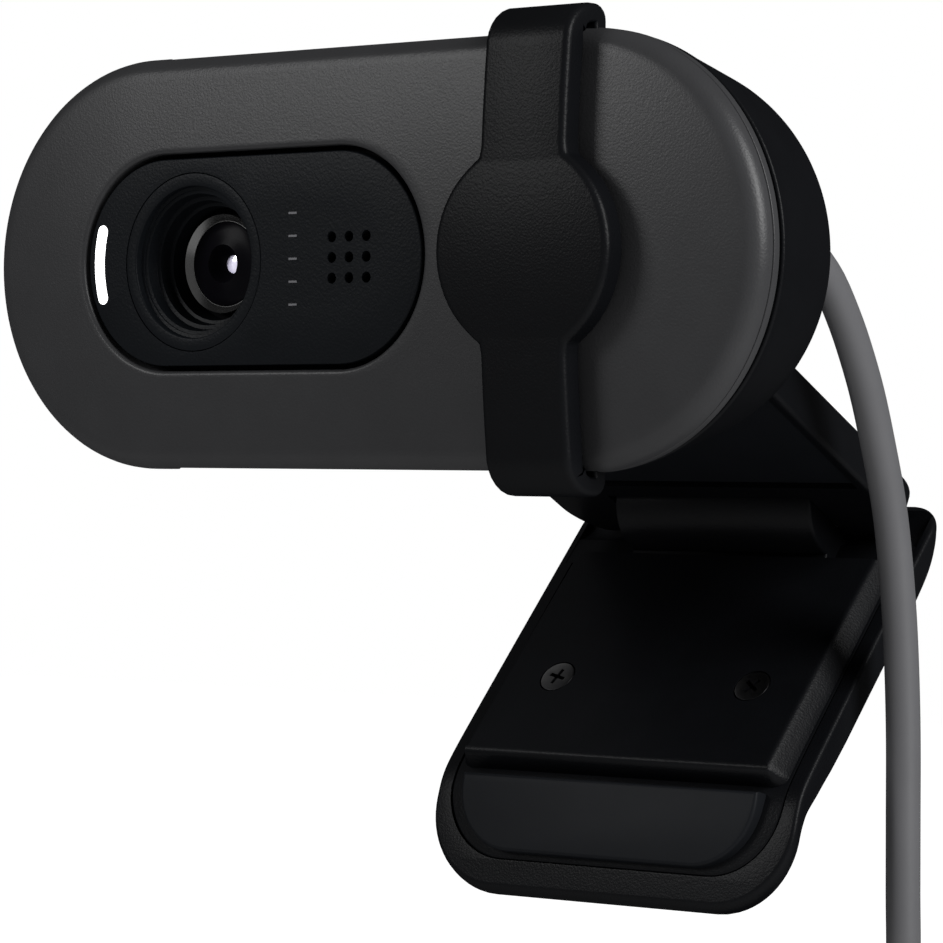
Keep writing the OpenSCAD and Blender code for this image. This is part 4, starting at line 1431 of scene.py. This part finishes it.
@dataclass
class Arm:
    """The arm that sits on the screen: plate, lip, tilt ears, fork, pads and washers.

    Its frame has the tilt axis as its origin and Y along the arm.
    """

    layout: Layout
    width: float = 34.0
    thick: float = 3.66
    start: float = 3.6
    length: float = 35.7
    tail: float = 1.5
    corner: float = 5.6
    front_corner: float = 0.8
    edge: float = 0.55
    lip_t: float = 2.0
    lip_drop: float = 6.0
    lip_w: float = 30.0
    lip_corner: float = 1.5
    ear_r: float = 3.1
    ear_x: tuple[float, float] = (7.5, 11.5)
    end_edge: float = 0.4
    tilt_r: float = 1.3
    clip_r: float = 1.0
    notch: tuple[float, float] = (30.9, 10.23)
    seat: Triple = (5.6, 29.0, 16.0)
    seat_rim: float = 0.35
    seat_depth: float = 0.6

    def build(self) -> None:
        """Builds the arm and what is fixed to it."""
        self.plate()
        self.pads()
        self.pins()

    def plan(self, shrink: float) -> list[tuple[float, float]]:
        """The arm's outline seen from above.

        Args:
            shrink: how far inside the real outline.

        Returns:
            (X, along) points.
        """
        w = self.width / 2 - shrink
        end = self.length + self.tail + self.thick / 2 - shrink
        k = self.corner - shrink
        front = self.start + shrink
        side = self.front_corner
        return [
            *arc(-w + side, front + side, side, 180, 270, 4), *arc(w - side, front + side, side, 270, 360, 4),
            *arc(w - k, end - k, k, 0, 90, 14), *arc(-w + k, end - k, k, 90, 180, 14),
        ]

    def plate(self) -> None:
        """The plate with its round end and fork, the lip and the ears."""
        place = self.layout.arm
        t = self.thick / 2
        end = self.length + self.tail
        rows = [(shrink, drop - t) for shrink, drop in rounding(self.edge, 6)]
        rows += [(shrink, -level) for shrink, level in reversed(rows)]
        rings = []
        for shrink, level in rows:
            flat = np.array(self.plan(shrink))
            # past its straight part the plate ends in a half round
            limit = math.sqrt(max(t * t - level * level, 0.0))
            over = np.minimum(np.maximum(flat[:, 1] - end, 0.0), limit)
            flat[:, 1] = np.minimum(flat[:, 1], end) + over
            rings.append(lifted(flat, Axis.Z, level))
        plate = Surface(rings).piece("arm_plate", Finish.BLACK, place, 40)
        fork_y, fork_x = self.notch
        near, far, half = self.seat
        fork = box_solid((-fork_x, fork_y, -5), (fork_x, 50, 5))
        seat = box_solid((-half, near, -5), (half, far, -t + self.seat_rim + self.seat_depth))
        tools = (fork.piece("fork", Finish.BLACK, place), seat.piece("recess", Finish.SHADOW, place))
        carve(plate, tools, 40)
        arm = join("arm_plate", [plate, self.lip(), self.ear(-1), self.ear(1)])
        hand_over(arm, Body.ARM, "shell_black", "arm")

    def lip(self) -> bpy.types.Object:
        """The lip that hangs down in front of the screen."""
        t, w, k = self.thick / 2, self.lip_w / 2, self.lip_corner
        low = -t - self.lip_drop
        outline = arc(-w + k, low + k, k, 180, 270, 8) + arc(w - k, low + k, k, 270, 360, 8)
        outline += [(w, t - 0.6), (-w, t - 0.6)]
        rings = rolled(outline, self.start, self.start + self.lip_t, self.end_edge, Axis.Y)
        return Surface(rings).piece("lip", Finish.BLACK, self.layout.arm, 40)

    def ear(self, side: int) -> bpy.types.Object:
        """One of the two ears that hold the tilt pin.

        Args:
            side: -1 for the left ear, 1 for the right one.

        Returns:
            The ear.
        """
        t, r = self.thick / 2, self.ear_r
        root = self.start + 1.4
        outline = [(root, t), *arc(0, 0, r, 75, 270, 40), (1.4, -r + 0.25), (root, -t)]
        x0, x1 = sorted(side * x for x in self.ear_x)
        ear = Surface(rolled(outline, x0, x1, self.end_edge)).piece("ear", Finish.BLACK, self.layout.arm, 40)
        bore = prism(circle(0, 0, self.tilt_r), Axis.X, (x0 - 1, x1 + 1))
        carve(ear, [bore.piece("bore", Finish.SHADOW, self.layout.arm)], 40)
        return ear

    def pads(self) -> None:
        """The seat's rubber pad and the lip's rubber strip."""
        t = self.thick / 2
        seat = -t + self.seat_rim
        for name, node, low, high in (
            ("seat_rubber", "seat_pad", (-15.8, 6.42, seat), (15.8, 28.78, seat + self.seat_depth)),
            ("lip_rubber", "lip_pad", (-13.0, 5.6, -t - 4.8), (13.0, 6.4, -t)),
        ):
            piece = box_solid(low, high).piece(name, Finish.RUBBER, self.layout.arm)
            soften(piece, 0.15)
            hand_over(piece, Body.ARM, "rubber_black", node)

    def pins(self) -> None:
        """The two hinge pins and their washers."""
        for name, node, radius, finish in (
            ("tilt_axle", "tilt_pin", self.tilt_r, Finish.STEEL),
            ("clip_axle", "clip_pin", self.clip_r, Finish.STEEL),
            ("tilt_spacer_left", "tilt_washer_left", 2.7, Finish.DARK_STEEL),
            ("tilt_spacer_right", "tilt_washer_right", 2.7, Finish.DARK_STEEL),
            ("clip_spacer_left", "clip_washer_left", 1.83, Finish.DARK_STEEL),
            ("clip_spacer_right", "clip_washer_right", 1.83, Finish.DARK_STEEL),
        ):
            self.bar(name, node, radius, finish)

    def bar(self, name: str, node: str, radius: float, finish: Finish) -> None:
        """A chamfered round bar along X, as long as the CAD node it stands for.

        Args:
            name: the piece's name.
            node: the CAD node.
            radius: the bar's radius.
            finish: its finish.
        """
        x0, x1 = low_high(node, Axis.X)
        _, y, z = middle(node)
        chamfer = min(0.15, (x1 - x0) / 3)
        small = radius - chamfer
        ends = ((x0, small), (x0 + chamfer, radius), (x1 - chamfer, radius), (x1, small))
        solid = Surface([lifted(circle(y, z, r, 64), Axis.X, x) for x, r in ends])
        hand_over(solid.piece(name, finish, crease=30), Body.ARM, "steel", node)


# ---------------------------------------------------------------------------------------------
# Foot


def level_layer(side: float, near: float, far: float, depth: float) -> Level:
    """A layer of Foot.layered() that is the same at every station.

    Args:
        side: how far it lies inside the sides.
        near: how far it lies inside the near end.
        far: how far it lies inside the far end.
        depth: its depth.

    Returns:
        The layer.
    """
    return lambda station: (side, near, far, depth)


@dataclass
class Foot:
    """The folding foot: shell with a bent tip, cover plate with a plateau, screws and pad.

    Its frame has the hinge as its origin and Y along the foot. Depths grow from the face that
    meets the screen's back to the outside.
    """

    layout: Layout
    width: float = 36.0
    length: float = 29.3
    tip_len: float = 9.3
    tip_angle: float = 30.0
    rim: float = 2.7
    back: float = 5.6
    tip_t: float = 2.3
    edge: float = 0.95
    tip_edge: float = 1.9
    tip_corner: float = 7.0
    heel: float = 2.75
    heel_corner: float = 3.0
    heel_thin: float = 1.95
    fold: float = 1.6
    lip: float = 0.36
    plate_s: float = 4.85
    plate_gap: float = 1.4
    knuckle_r: float = 4.5
    knuckle_w: float = 19.86
    knuckle_bore: float = 1.05
    plateau_w: float = 30.2
    plateau_rise: float = 1.44
    screw: tuple[float, float] = (9.8, 19.5)
    screw_sink: float = 1.66
    arm_half: float = 17.25
    arm_end_r: float = 3.44
    pad: Triple = (29.4, 6.4, 1.0)
    pad_corner: float = 5.6

    def build(self) -> None:
        """Builds the foot."""
        self.shell()
        self.plate()
        self.screws()
        self.rubber()

    def bend(self, points: np.ndarray) -> np.ndarray:
        """Bends flat points at the tip's line.

        Args:
            points: rows of (X, along, depth behind the rim).

        Returns:
            The same points in the foot's frame.
        """
        angle = math.radians(self.tip_angle)
        out = points.copy()
        past = points[:, 1] - self.length + points[:, 2] * math.tan(angle / 2)
        past = (past + np.sqrt(past**2 + self.fold**2)) / 2
        out[:, 1] = points[:, 1] - past * (1 - math.cos(angle))
        out[:, 2] = self.rim + points[:, 2] + past * math.sin(angle)
        return out

    def layered(self, stations: Sequence[float], half_w: float, corner: float, ends: tuple[float, float],
                levels: Sequence[Level], near_corner: float = 0.0) -> Surface:
        """A flat body with round corners, as layers over one another.

        Args:
            stations: places along the foot where a cross-section stands.
            half_w: half of its width.
            corner: the radius of its far corners.
            ends: its near and its far end.
            levels: for each layer a function that gives, at a station, how far it lies inside
                the sides, the near end and the far end, and its depth.
            near_corner: the radius of its near corners.

        Returns:
            The body, with the tip bent.
        """
        near, far = ends
        surface = Surface()
        rows: list[list[tuple[int, int]]] = []
        for station in stations:
            row = []
            for level in levels:
                side, at_near, at_far, _ = level(station)
                s = min(max(station, near + at_near), far - at_far)
                depth = level(s)[3]
                w = half_w - side
                rounds = ((corner, at_far, s - far + corner), (near_corner, at_near, near + near_corner - s))
                for k, inside, over in rounds:
                    if over > 0 and k > 0:
                        r = max(k - inside, 1e-3)
                        w = half_w - k + math.sqrt(max(r * r - over**2, 0.0)) * (k - side) / r
                both = self.bend(np.array([[w, s, depth], [-w, s, depth]]))
                row.append(tuple(surface.ring(both)))
            rows.append(row)
        faces = surface.faces
        for a, b in zip(rows, rows[1:]):
            for k in range(len(levels) - 1):
                for side in (0, 1):
                    faces.append((a[k][side], a[k + 1][side], b[k + 1][side], b[k][side]))
            for k in (0, len(levels) - 1):
                faces.append((a[k][0], a[k][1], b[k][1], b[k][0]))
        for row in (rows[0], rows[-1]):
            for p, q in zip(row, row[1:]):
                faces.append((p[0], p[1], q[1], q[0]))
        return surface

    def thickness(self, s: float) -> float:
        """Returns the body's depth behind the rim at a place along the foot."""
        full = self.back - self.rim
        from_heel = s + 0.3
        from_heel = (from_heel + math.hypot(from_heel, 0.8)) / 2
        past = ease((s - self.length + 2.5) / 5.0)
        return full - self.heel_thin * math.exp(-from_heel / 1.7) + (self.tip_t - full) * past

    def back_level(self, a: float) -> Level:
        """A layer of the back's large rounding.

        Args:
            a: the angle through the rounding, in radians.

        Returns:
            The layer.
        """
        def level(s: float) -> tuple[float, float, float, float]:
            """The layer's insets and depth at a station."""
            t = self.thickness(s)
            to_tip = min(max((s - self.length + 6) / 6, 0.0), 1.0)
            edge = self.edge + (self.tip_edge - self.edge) * to_tip
            by = edge * (1 - math.cos(a))
            height = min(edge, max(t - self.lip - 0.02, 0.05))
            return by, min(by, 0.8), by, t - height * (1 - math.sin(a))

        return level

    def shell(self) -> None:
        """The body behind the plate, with its rounded back and the ears beside the arm."""
        place, quarter = self.layout.foot, math.pi / 2
        levels = [level_layer(by, by, by, depth) for by, depth in rounding(self.lip, 4)]
        levels += [self.back_level(quarter * k / 10) for k in range(1, 11)]
        far = self.length + self.tip_len
        stations = np.concatenate([
            -self.heel + self.heel_corner * (1 - np.cos(np.linspace(0, quarter, 18))),
            np.linspace(0.6, 8.0, 12), np.linspace(9.5, 24.5, 6),
            np.linspace(25.5, far - self.tip_corner, 18),
            far - self.tip_corner * (1 - np.sin(np.linspace(0.06, quarter, 18))),
        ])
        ends = (-self.heel, far)
        solid = self.layered(stations, self.width / 2, self.tip_corner, ends, levels, self.heel_corner)
        shell = solid.piece("foot_body", Finish.BLACK, place, 40)
        half, clear = self.knuckle_w / 2, 0.03
        cuts = [
            box_solid((-self.arm_half, -2.0, -9), (self.arm_half, self.plate_s, self.rim + 0.05)),
            prism(circle(0, 0, self.arm_end_r, 64), Axis.X, (-self.arm_half, self.arm_half)),
            prism(circle(0, 0, self.knuckle_r + 0.05, 64), Axis.X, (-half - clear, half + clear)),
            box_solid((-half - 0.12, -0.2, 0), (half + clear, self.plate_s + 1, 3.95)),
            self.sheet(self.plate_gap, 2.3, ((0.0, -1.0), (0.0, 1.25))),
        ]
        carve(shell, [cut.piece("cut", Finish.BLACK, place) for cut in cuts], 40)
        hand_over(shell, Body.FOOT, "shell_black", "foot_shell")

    def sheet(self, gap: float, end: float, rows: Sequence[tuple[float, float]]) -> Surface:
        """A thin layer of the foot that starts at the plate's near end and follows the bend.

        Args:
            gap: how far it lies inside the foot's sides.
            end: how far it ends short of the tip.
            rows: (inset, depth) of each layer.

        Returns:
            The layer as a closed body.
        """
        far = self.length + self.tip_len - end
        corner = self.tip_corner - gap / 2
        stations = np.concatenate([
            np.linspace(self.plate_s, 24.5, 6), np.linspace(25.5, far - corner, 16),
            far - corner * (1 - np.sin(np.linspace(0.06, math.pi / 2, 18))),
        ])
        levels = [level_layer(by, 0.0, by, depth) for by, depth in rows]
        return self.layered(stations, self.width / 2 - gap, corner, (self.plate_s, far), levels)

    def plate(self) -> None:
        """The cover plate with its raised plateau and the hinge knuckle."""
        place = self.layout.foot
        x, s = self.screw
        rows = ((0.14, 0.0), (0.04, 0.04), (0.0, 0.14), (0.0, 1.2))
        sheet = self.sheet(self.plate_gap + 0.15, 2.45, rows).piece("foot_cover", Finish.BLACK, place, 40)
        plateau = self.plateau()
        for part in (sheet, plateau):
            tools = []
            for side in (-1, 1):
                for radius, top in ((0.75, 9), (self.screw_sink, self.rim - 0.6)):
                    hole = prism(circle(side * x, s, radius), Axis.Z, (-1, top))
                    tools.append(hole.piece("bore", Finish.BLACK, place))
            carve(part, tools, 40)
        cover = join("foot_cover", [sheet, plateau, self.knuckle()])
        hand_over(cover, Body.FOOT, "shell_black", "foot_plate")

    def plateau(self) -> bpy.types.Object:
        """The raised flat between the hinge and the bend, with bevelled sides and end."""
        near, far = self.plate_s, self.length - 0.8

        def layer(pull: float, end: float, rise: float) -> Level:
            """A layer of the bevel: how far inside the sides and the end it lies, and its rise."""
            slope = 0.4 * max(rise, 0.0) / self.plateau_rise
            return lambda s: (pull, 0.0, end, -rise - slope * (s - near) / (far - near))

        bevel = (
            (0.0, 0.0, -0.3), (0.1, 0.0, 0.0), (0.45, 0.1, 0.5), (0.85, 0.22, 1.0), (0.98, 0.28, 1.15),
            (1.1, 0.36, 1.27), (1.22, 0.47, 1.36), (1.36, 0.6, 1.42), (1.55, 0.78, self.plateau_rise),
        )
        levels = [layer(*row) for row in bevel]
        stations = np.concatenate([np.linspace(near, far - 3.0, 6), np.linspace(far - 2.6, far, 16)])
        corner = 1.2
        solid = self.layered(stations, self.plateau_w / 2 + corner, corner, (near, far), levels)
        return solid.piece("plateau", Finish.BLACK, self.layout.foot, 50)

    def knuckle(self) -> bpy.types.Object:
        """The hinge barrel in the arm's fork, bored for the pin."""
        place, half, root = self.layout.foot, self.knuckle_w / 2, self.plate_s + 0.3
        outline = [*arc(0, 0, self.knuckle_r, 90, 385, 72)[:-1], (root, 1.9), (root, 3.85), (2.25, 3.9)]
        barrel = Surface(rolled(outline, -half, half, 0.3)).piece("knuckle", Finish.BLACK, place, 30)
        bore = prism(circle(0, 0, self.knuckle_bore), Axis.X, (-12.0, 12.0))
        carve(barrel, [bore.piece("bore", Finish.SHADOW, place)], 30)
        return barrel

    def screws(self) -> None:
        """The two countersunk cross-head screws."""
        place = self.layout.foot
        top, rim = self.rim - self.screw_sink, self.rim
        profile = (
            (CENTRE_R, top), (1.44, top), (1.52, top + 0.03), (1.56, top + 0.1), (1.56, rim - 0.62),
            (0.6, rim - 0.3), (0.6, rim + 1.5), (CENTRE_R, rim + 1.5),
        )
        slot = np.array([(0.82, 0.17), (-0.82, 0.17), (-0.82, -0.17), (0.82, -0.17)])
        for side, label, turn in ((-1, "left", 15), (1, "right", 35)):
            x, s = side * self.screw[0], self.screw[1]
            solid = Surface([lifted(circle(x, s, r), Axis.Z, z) for r, z in profile])
            screw = solid.piece(f"foot_bolt_{label}", Finish.DARK_STEEL, place, 35)
            tools = []
            for angle in (turn, turn + 90):
                cos, sin = math.cos(math.radians(angle)), math.sin(math.radians(angle))
                flat = slot @ np.array([[cos, sin], [-sin, cos]]) + [x, s]
                tool = prism(flat, Axis.Z, (top - 0.5, top + 0.6))
                tools.append(tool.piece("slot", Finish.SHADOW, place))
            carve(screw, tools, 35)
            hand_over(screw, Body.FOOT, "screw_black", f"foot_screw_{label}")

    def rubber(self) -> None:
        """The rubber pad on the tip."""
        width, height, thick = self.pad
        w, k = width / 2, self.pad_corner
        rounds = arc(w - k, height - k, k, 0, 90, 14) + arc(-w + k, height - k, k, 90, 180, 14)
        flat = np.array([(-w, 0.0), (w, 0.0), *rounds])
        edge = ((0.0, 0.35), (0.0, 0.3 - thick), (0.05, 0.13 - thick), (0.16, 0.03 - thick), (0.3, -thick))
        tip = self.layout.foot.inner((0.0, self.length, self.rim), self.tip_angle)
        solid = Surface([lifted(inset(flat, by), Axis.Z, z) for by, z in edge])
        hand_over(solid.piece("foot_rubber", Finish.RUBBER, tip, 40), Body.FOOT, "rubber_black", "foot_pad")


# ---------------------------------------------------------------------------------------------
# Cable


def smooth_path(points: Sequence[Sequence[float]], step: float) -> np.ndarray:
    """A Catmull-Rom curve through points, evenly spaced.

    Args:
        points: the points in millimetres.
        step: the spacing wanted.

    Returns:
        The curve's points.
    """
    p = np.array(points, float)
    p = np.vstack([2 * p[0] - p[1], p, 2 * p[-1] - p[-2]])
    fine = []
    for a, b, c, d in zip(p, p[1:], p[2:], p[3:]):
        square, cube = 2 * a - 5 * b + 4 * c - d, 3 * b - a - 3 * c + d
        for t in np.linspace(0, 1, 24, endpoint=False):
            fine.append(0.5 * (2 * b + (c - a) * t + square * t**2 + cube * t**3))
    fine.append(p[-2])
    return respace(np.array(fine), step)


def respace(points: np.ndarray, step: float) -> np.ndarray:
    """Spaces a polyline's points evenly, both ends kept."""
    gaps = np.linalg.norm(np.diff(points, axis=0), axis=1)
    along = np.concatenate([[0], np.cumsum(gaps)])
    count = max(int(along[-1] / step), 2)
    want = np.linspace(0, along[-1], count + 1)
    return np.column_stack([np.interp(want, along, points[:, i]) for i in range(3)])


@dataclass
class Cable:
    """The cable: from the head down behind the foot, coiled and tied, to its plug.

    Rows is how many turns lie side by side in a layer of the coil, and climb the last part of
    each layer, in which the cable climbs to the next one.
    """

    layout: Layout
    diameter: float = 2.8
    route: tuple[Triple, ...] = (
        (20.8, -9.4, 15.0), (21.2, -7.6, 13.9), (21.6, -5.9, 12.5), (21.9, -4.2, 10.8),
        (22.0, -2.5, 8.6), (22.0, -0.7, 6.0), (22.0, 1.4, 2.2), (22.0, 3.2, -2.2), (22.0, 4.8, -6.8),
        (22.0, 5.8, -11.4), (22.0, 6.5, -16.2), (22.0, 6.9, -21.0), (22.0, 7.1, -26.0),
        (22.0, 7.1, -32.0), (22.0, 7.1, -38.0), (22.0, 7.1, -44.0), (21.3, 7.1, -47.6),
        (19.4, 7.1, -50.4), (16.6, 7.1, -52.3), (13.0, 7.1, -53.0),
    )
    coil_r: float = 20.6
    rows: float = 3.56
    layers: int = 4
    turn_steps: int = 56
    climb: float = 0.1
    tail: float = 11.0
    points: np.ndarray = field(init=False)

    def __post_init__(self) -> None:
        """Lays the whole centreline: route, coil and tail."""
        relief = self.layout.head.at(np.array([self.layout.relief]))[0]
        down = smooth_path([relief, relief + [0, 1.0, 0], *self.route], 1.0)
        coil = self.coil()
        tail = [coil[-1] - [0, 0, drop] for drop in np.linspace(0, self.tail, 12)[1:]]
        self.points = np.vstack([down[:-1], coil, tail])

    def coil(self) -> np.ndarray:
        """The coil's turns: spirals in and out, a layer at a time, from its top round.

        Returns:
            The centreline's points.
        """
        pitch = self.diameter * 1.02
        centre = np.array(self.route[-1]) - [0, 0, self.coil_r]
        turns_total = self.rows * self.layers
        # it ends a quarter turn on from its top, where the tail goes straight down
        turns_total += (0.25 - turns_total) % 1.0
        steps = int(turns_total * self.turn_steps)
        out = []
        for i in range(steps + 1):
            turn = turns_total * i / steps
            laid = min(turn / turns_total * self.layers, self.layers - 1e-6)
            layer = int(laid)
            part = laid - layer
            inwards = part if layer % 2 == 0 else 1 - part
            radius = self.coil_r - self.rows * pitch * inwards
            rise = ease((part - 1 + self.climb) / self.climb) if layer < self.layers - 1 else 0.0
            a = math.radians(90) + 2 * math.pi * turn
            out.append(centre + [radius * math.cos(a), (layer + rise) * pitch, radius * math.sin(a)])
        return np.array(out)

    def build(self) -> None:
        cord = tube_along("cable_cord", Finish.CABLE, self.points, self.diameter / 2, 20)
        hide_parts("usb_cable", "cable_coil", "cable_tail")
        tie = self.tie()
        plug = self.plug()
        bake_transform(cord)

    def tie(self) -> bpy.types.Object:
        """The band round the coil's lowest turns."""
        (x0, y0, z0), (x1, y1, z1) = corners("cable_tie")
        k, t, edge = 3.0, 1.1, 0.3
        outer = np.array([
            *arc(y1 - k, z1 - k, k, 0, 90, 8), *arc(y0 + k, z1 - k, k, 90, 180, 8),
            *arc(y0 + k, z0 + k, k, 180, 270, 8), *arc(y1 - k, z0 + k, k, 270, 360, 8),
        ])
        side = ((x0 + edge, 0.0), (x0, edge), (x0, t - edge), (x0 + edge, t))
        section = [*side, *((x0 + x1 - x, by) for x, by in reversed(side))]
        solid = Surface([lifted(inset(outer, by), Axis.X, x) for x, by in section], torus=True)
        band = solid.piece("cable_band", Finish.RUBBER, crease=50)
        return hand_over(band, Body.ARM, "rubber_black", "cable_tie")

    def plug(self) -> list[bpy.types.Object]:
        """The plug: moulded grip with its relief, metal shell, tongue and four contacts."""
        return [self.grip(), self.connector(), self.tongue(), self.contacts()]

    def grip(self) -> bpy.types.Object:
        """The plug's moulded grip, with the sleeve that the cable enters."""
        low, high = corners("plug_grip")
        x, y, _ = middle("plug_grip")
        top = high[Axis.Z]
        profile = ((1.62, top), (2.0, top - 0.3), (2.1, top - 6.6), (2.6, top - 7.4))
        rings = [lifted(circle(x, y, r, 32), Axis.Z, z) for r, z in profile]
        sleeve = Surface(rings).piece("sleeve", Finish.RUBBER, crease=40)
        high[Axis.Z] -= 7.0
        body = box_solid(low, high).piece("grip", Finish.RUBBER)
        soften(body, 1.4, 5)
        return hand_over(join("plug_handle", [body, sleeve]), Body.ARM, "rubber_black", "plug_grip")

    def connector(self) -> bpy.types.Object:
        """The plug's metal shell, hollow, with two windows through its flat sides."""
        (x0, y0, z0), (x1, y1, z1) = corners("plug_shell")
        y = middle("plug_grip")[Axis.Y]
        wall, apart, half = 0.35, 2.6, 1.1
        tube = box_solid((x0, y0, z0), (x1, y1, z1)).piece("plug_sleeve", Finish.STEEL)
        cuts = [box_solid((x0 + wall, y0 + wall, z0 - 1), (x1 - wall, y1 - wall, z1 - 0.5))]
        for at in (y - apart, y + apart):
            cuts.append(box_solid((x0 - 1, at - half, z0 + 5.4), (x1 + 1, at + half, z0 + 7.4)))
        carve(tube, [cut.piece("cut", Finish.STEEL) for cut in cuts], 40)
        soften(tube, 0.12, 2)
        return hand_over(tube, Body.ARM, "steel", "plug_shell")

    def tongue(self) -> bpy.types.Object:
        """The plug's tongue, a plain box with soft edges."""
        tongue = box_solid(*corners("plug_tongue")).piece("plug_insert", Finish.IVORY)
        soften(tongue, 0.1, 4)
        return hand_over(tongue, Body.ARM, "connector_ivory", "plug_tongue")

    def contacts(self) -> bpy.types.Object:
        """The four gold contacts on the tongue."""
        low, high = corners("plug_contacts")
        count, wide = 4, 1.0
        x, _, z = middle("plug_contacts")
        deep, across, tall = (b - a for a, b in zip(low, high))
        step = (across - wide) / (count - 1)
        bars = row_of_bars("plug_pads", Finish.GOLD, count, (0.0, step, 0.0), (deep, wide, tall),
                           (x, low[Axis.Y] + wide / 2, z))
        return hand_over(bars, Body.ARM, "contact_gold", "plug_contacts")


# ---------------------------------------------------------------------------------------------
# What stays CAD


def dress_inside() -> None:
    """Gives the hidden parts, which keep their CAD meshes, their finishes."""
    for node, finish in (
        ("main_board", Finish.BOARD), ("image_sensor", Finish.LENS), ("lens_holder", Finish.SHADOW),
        ("status_led", Finish.IVORY), ("microphone", Finish.STEEL), ("cable_socket", Finish.IVORY),
        ("board_screw_left", Finish.STEEL), ("board_screw_right", Finish.STEEL),
    ):
        dress(node, finish)
        LOG.info("%s: keeps its CAD mesh", node)


# ---------------------------------------------------------------------------------------------
# Studio


@dataclass(frozen=True)
class Lamp:
    """A soft rectangular lamp, with its place, its aim and its size in millimetres."""

    name: str
    place: Triple
    aim: Triple
    size: tuple[float, float]
    power: float

    def build(self) -> None:
        """Puts the lamp into the scene."""
        data = bpy.data.lights.new(self.name, "AREA")
        data.shape = "RECTANGLE"
        data.size, data.size_y = (v * MM for v in self.size)
        data.energy = self.power
        lamp = add_object(self.name, data)
        lamp.location = [v * MM for v in self.place]
        way = Vector(self.aim) - Vector(self.place)
        lamp.rotation_euler = way.to_track_quat("-Z", "Y").to_euler()


@dataclass
class Studio:
    """Camera, white surroundings, and two soft lamps: in front at the left, and wide at the right.

    The camera's turn is in degrees. The floor reaches its size to every side, and lies its
    drop below the plug.
    """

    eye: Triple = (183.519, -262.937, -0.641)
    turn: Triple = (89.3569, -0.0501, 37.228)
    lens: float = 148.52
    sensor: float = 36.0
    fill: float = 0.12
    floor_size: float = 1500.0
    floor_drop: float = 30.0
    floor_tone: float = 0.8
    floor_glow: float = 0.92
    lamps: tuple[Lamp, ...] = (
        Lamp("front", (-239, -357, 176), (0, -15, 7), (150, 150), 2.1),
        Lamp("side", (400, -60, 190), (0, -15, 0), (150, 300), 6.5),
    )

    def build(self) -> None:
        """Builds the studio."""
        self.camera()
        self.world()
        self.floor()
        for lamp in self.lamps:
            lamp.build()
        bpy.context.scene.view_settings.view_transform = "Standard"

    def camera(self) -> None:
        """The camera, from the front right and a little above the clip."""
        data = bpy.data.cameras.new("camera")
        data.lens = self.lens
        data.sensor_width = self.sensor
        data.clip_start = 0.01
        data.clip_end = 50.0
        camera = add_object("camera", data)
        camera.location = [v * MM for v in self.eye]
        camera.rotation_euler = [math.radians(v) for v in self.turn]
        bpy.context.scene.camera = camera

    def world(self) -> None:
        """A world that is white to the camera and in glass, and a soft fill elsewhere."""
        world = bpy.data.worlds.new("surroundings")
        bpy.context.scene.world = world
        kit = NodeKit(world)
        tones = [kit.add("ShaderNodeBackground", Color=(1.0, 1.0, 1.0, 1.0), Strength=strength).outputs[0]
                 for strength in (self.fill, 1.0)]
        kit.finish(kit.mix(*tones, kit.seen()))

    def floor(self) -> None:
        """A wide pale floor well below the coil, open from below; it keeps the shadow."""
        kit = NodeKit(bpy.data.materials.new("studio_white"))
        paint = kit.add("ShaderNodeBsdfDiffuse", Color=(*[self.floor_tone] * 3, 1.0)).outputs[0]
        glow = kit.add("ShaderNodeEmission", Strength=self.floor_glow)
        lit = kit.add("ShaderNodeAddShader")
        kit.link(paint, lit.inputs[0])
        kit.link(glow.outputs[0], lit.inputs[1])
        above = kit.mix(paint, lit.outputs[0], kit.seen())
        below = kit.add("ShaderNodeBsdfTransparent").outputs[0]
        under = kit.add("ShaderNodeNewGeometry").outputs["Backfacing"]
        size, level = self.floor_size, low_high("plug_shell", Axis.Z)[0] - self.floor_drop
        mesh = bpy.data.meshes.new("studio_floor")
        places = [(-size, -size, level), (size, -size, level), (size, size, level), (-size, size, level)]
        mesh.from_pydata([[v * MM for v in p] for p in places], [], [(0, 1, 2, 3)])
        mesh.materials.append(kit.finish(kit.mix(above, below, under)))
        add_object("studio_floor", mesh)


def main() -> None:
    """Builds the studio and the webcam."""
    logging.basicConfig(level=logging.INFO, format="%(name)s: %(message)s")
    layout = Layout()
    Studio().build()
    Cable(layout).build()
    head = Head(layout)
    head.build()
    Shutter(layout, head).build()
    Arm(layout).build()
    Foot(layout).build()
    dress_inside()


if __name__ == "__main__":
    main()
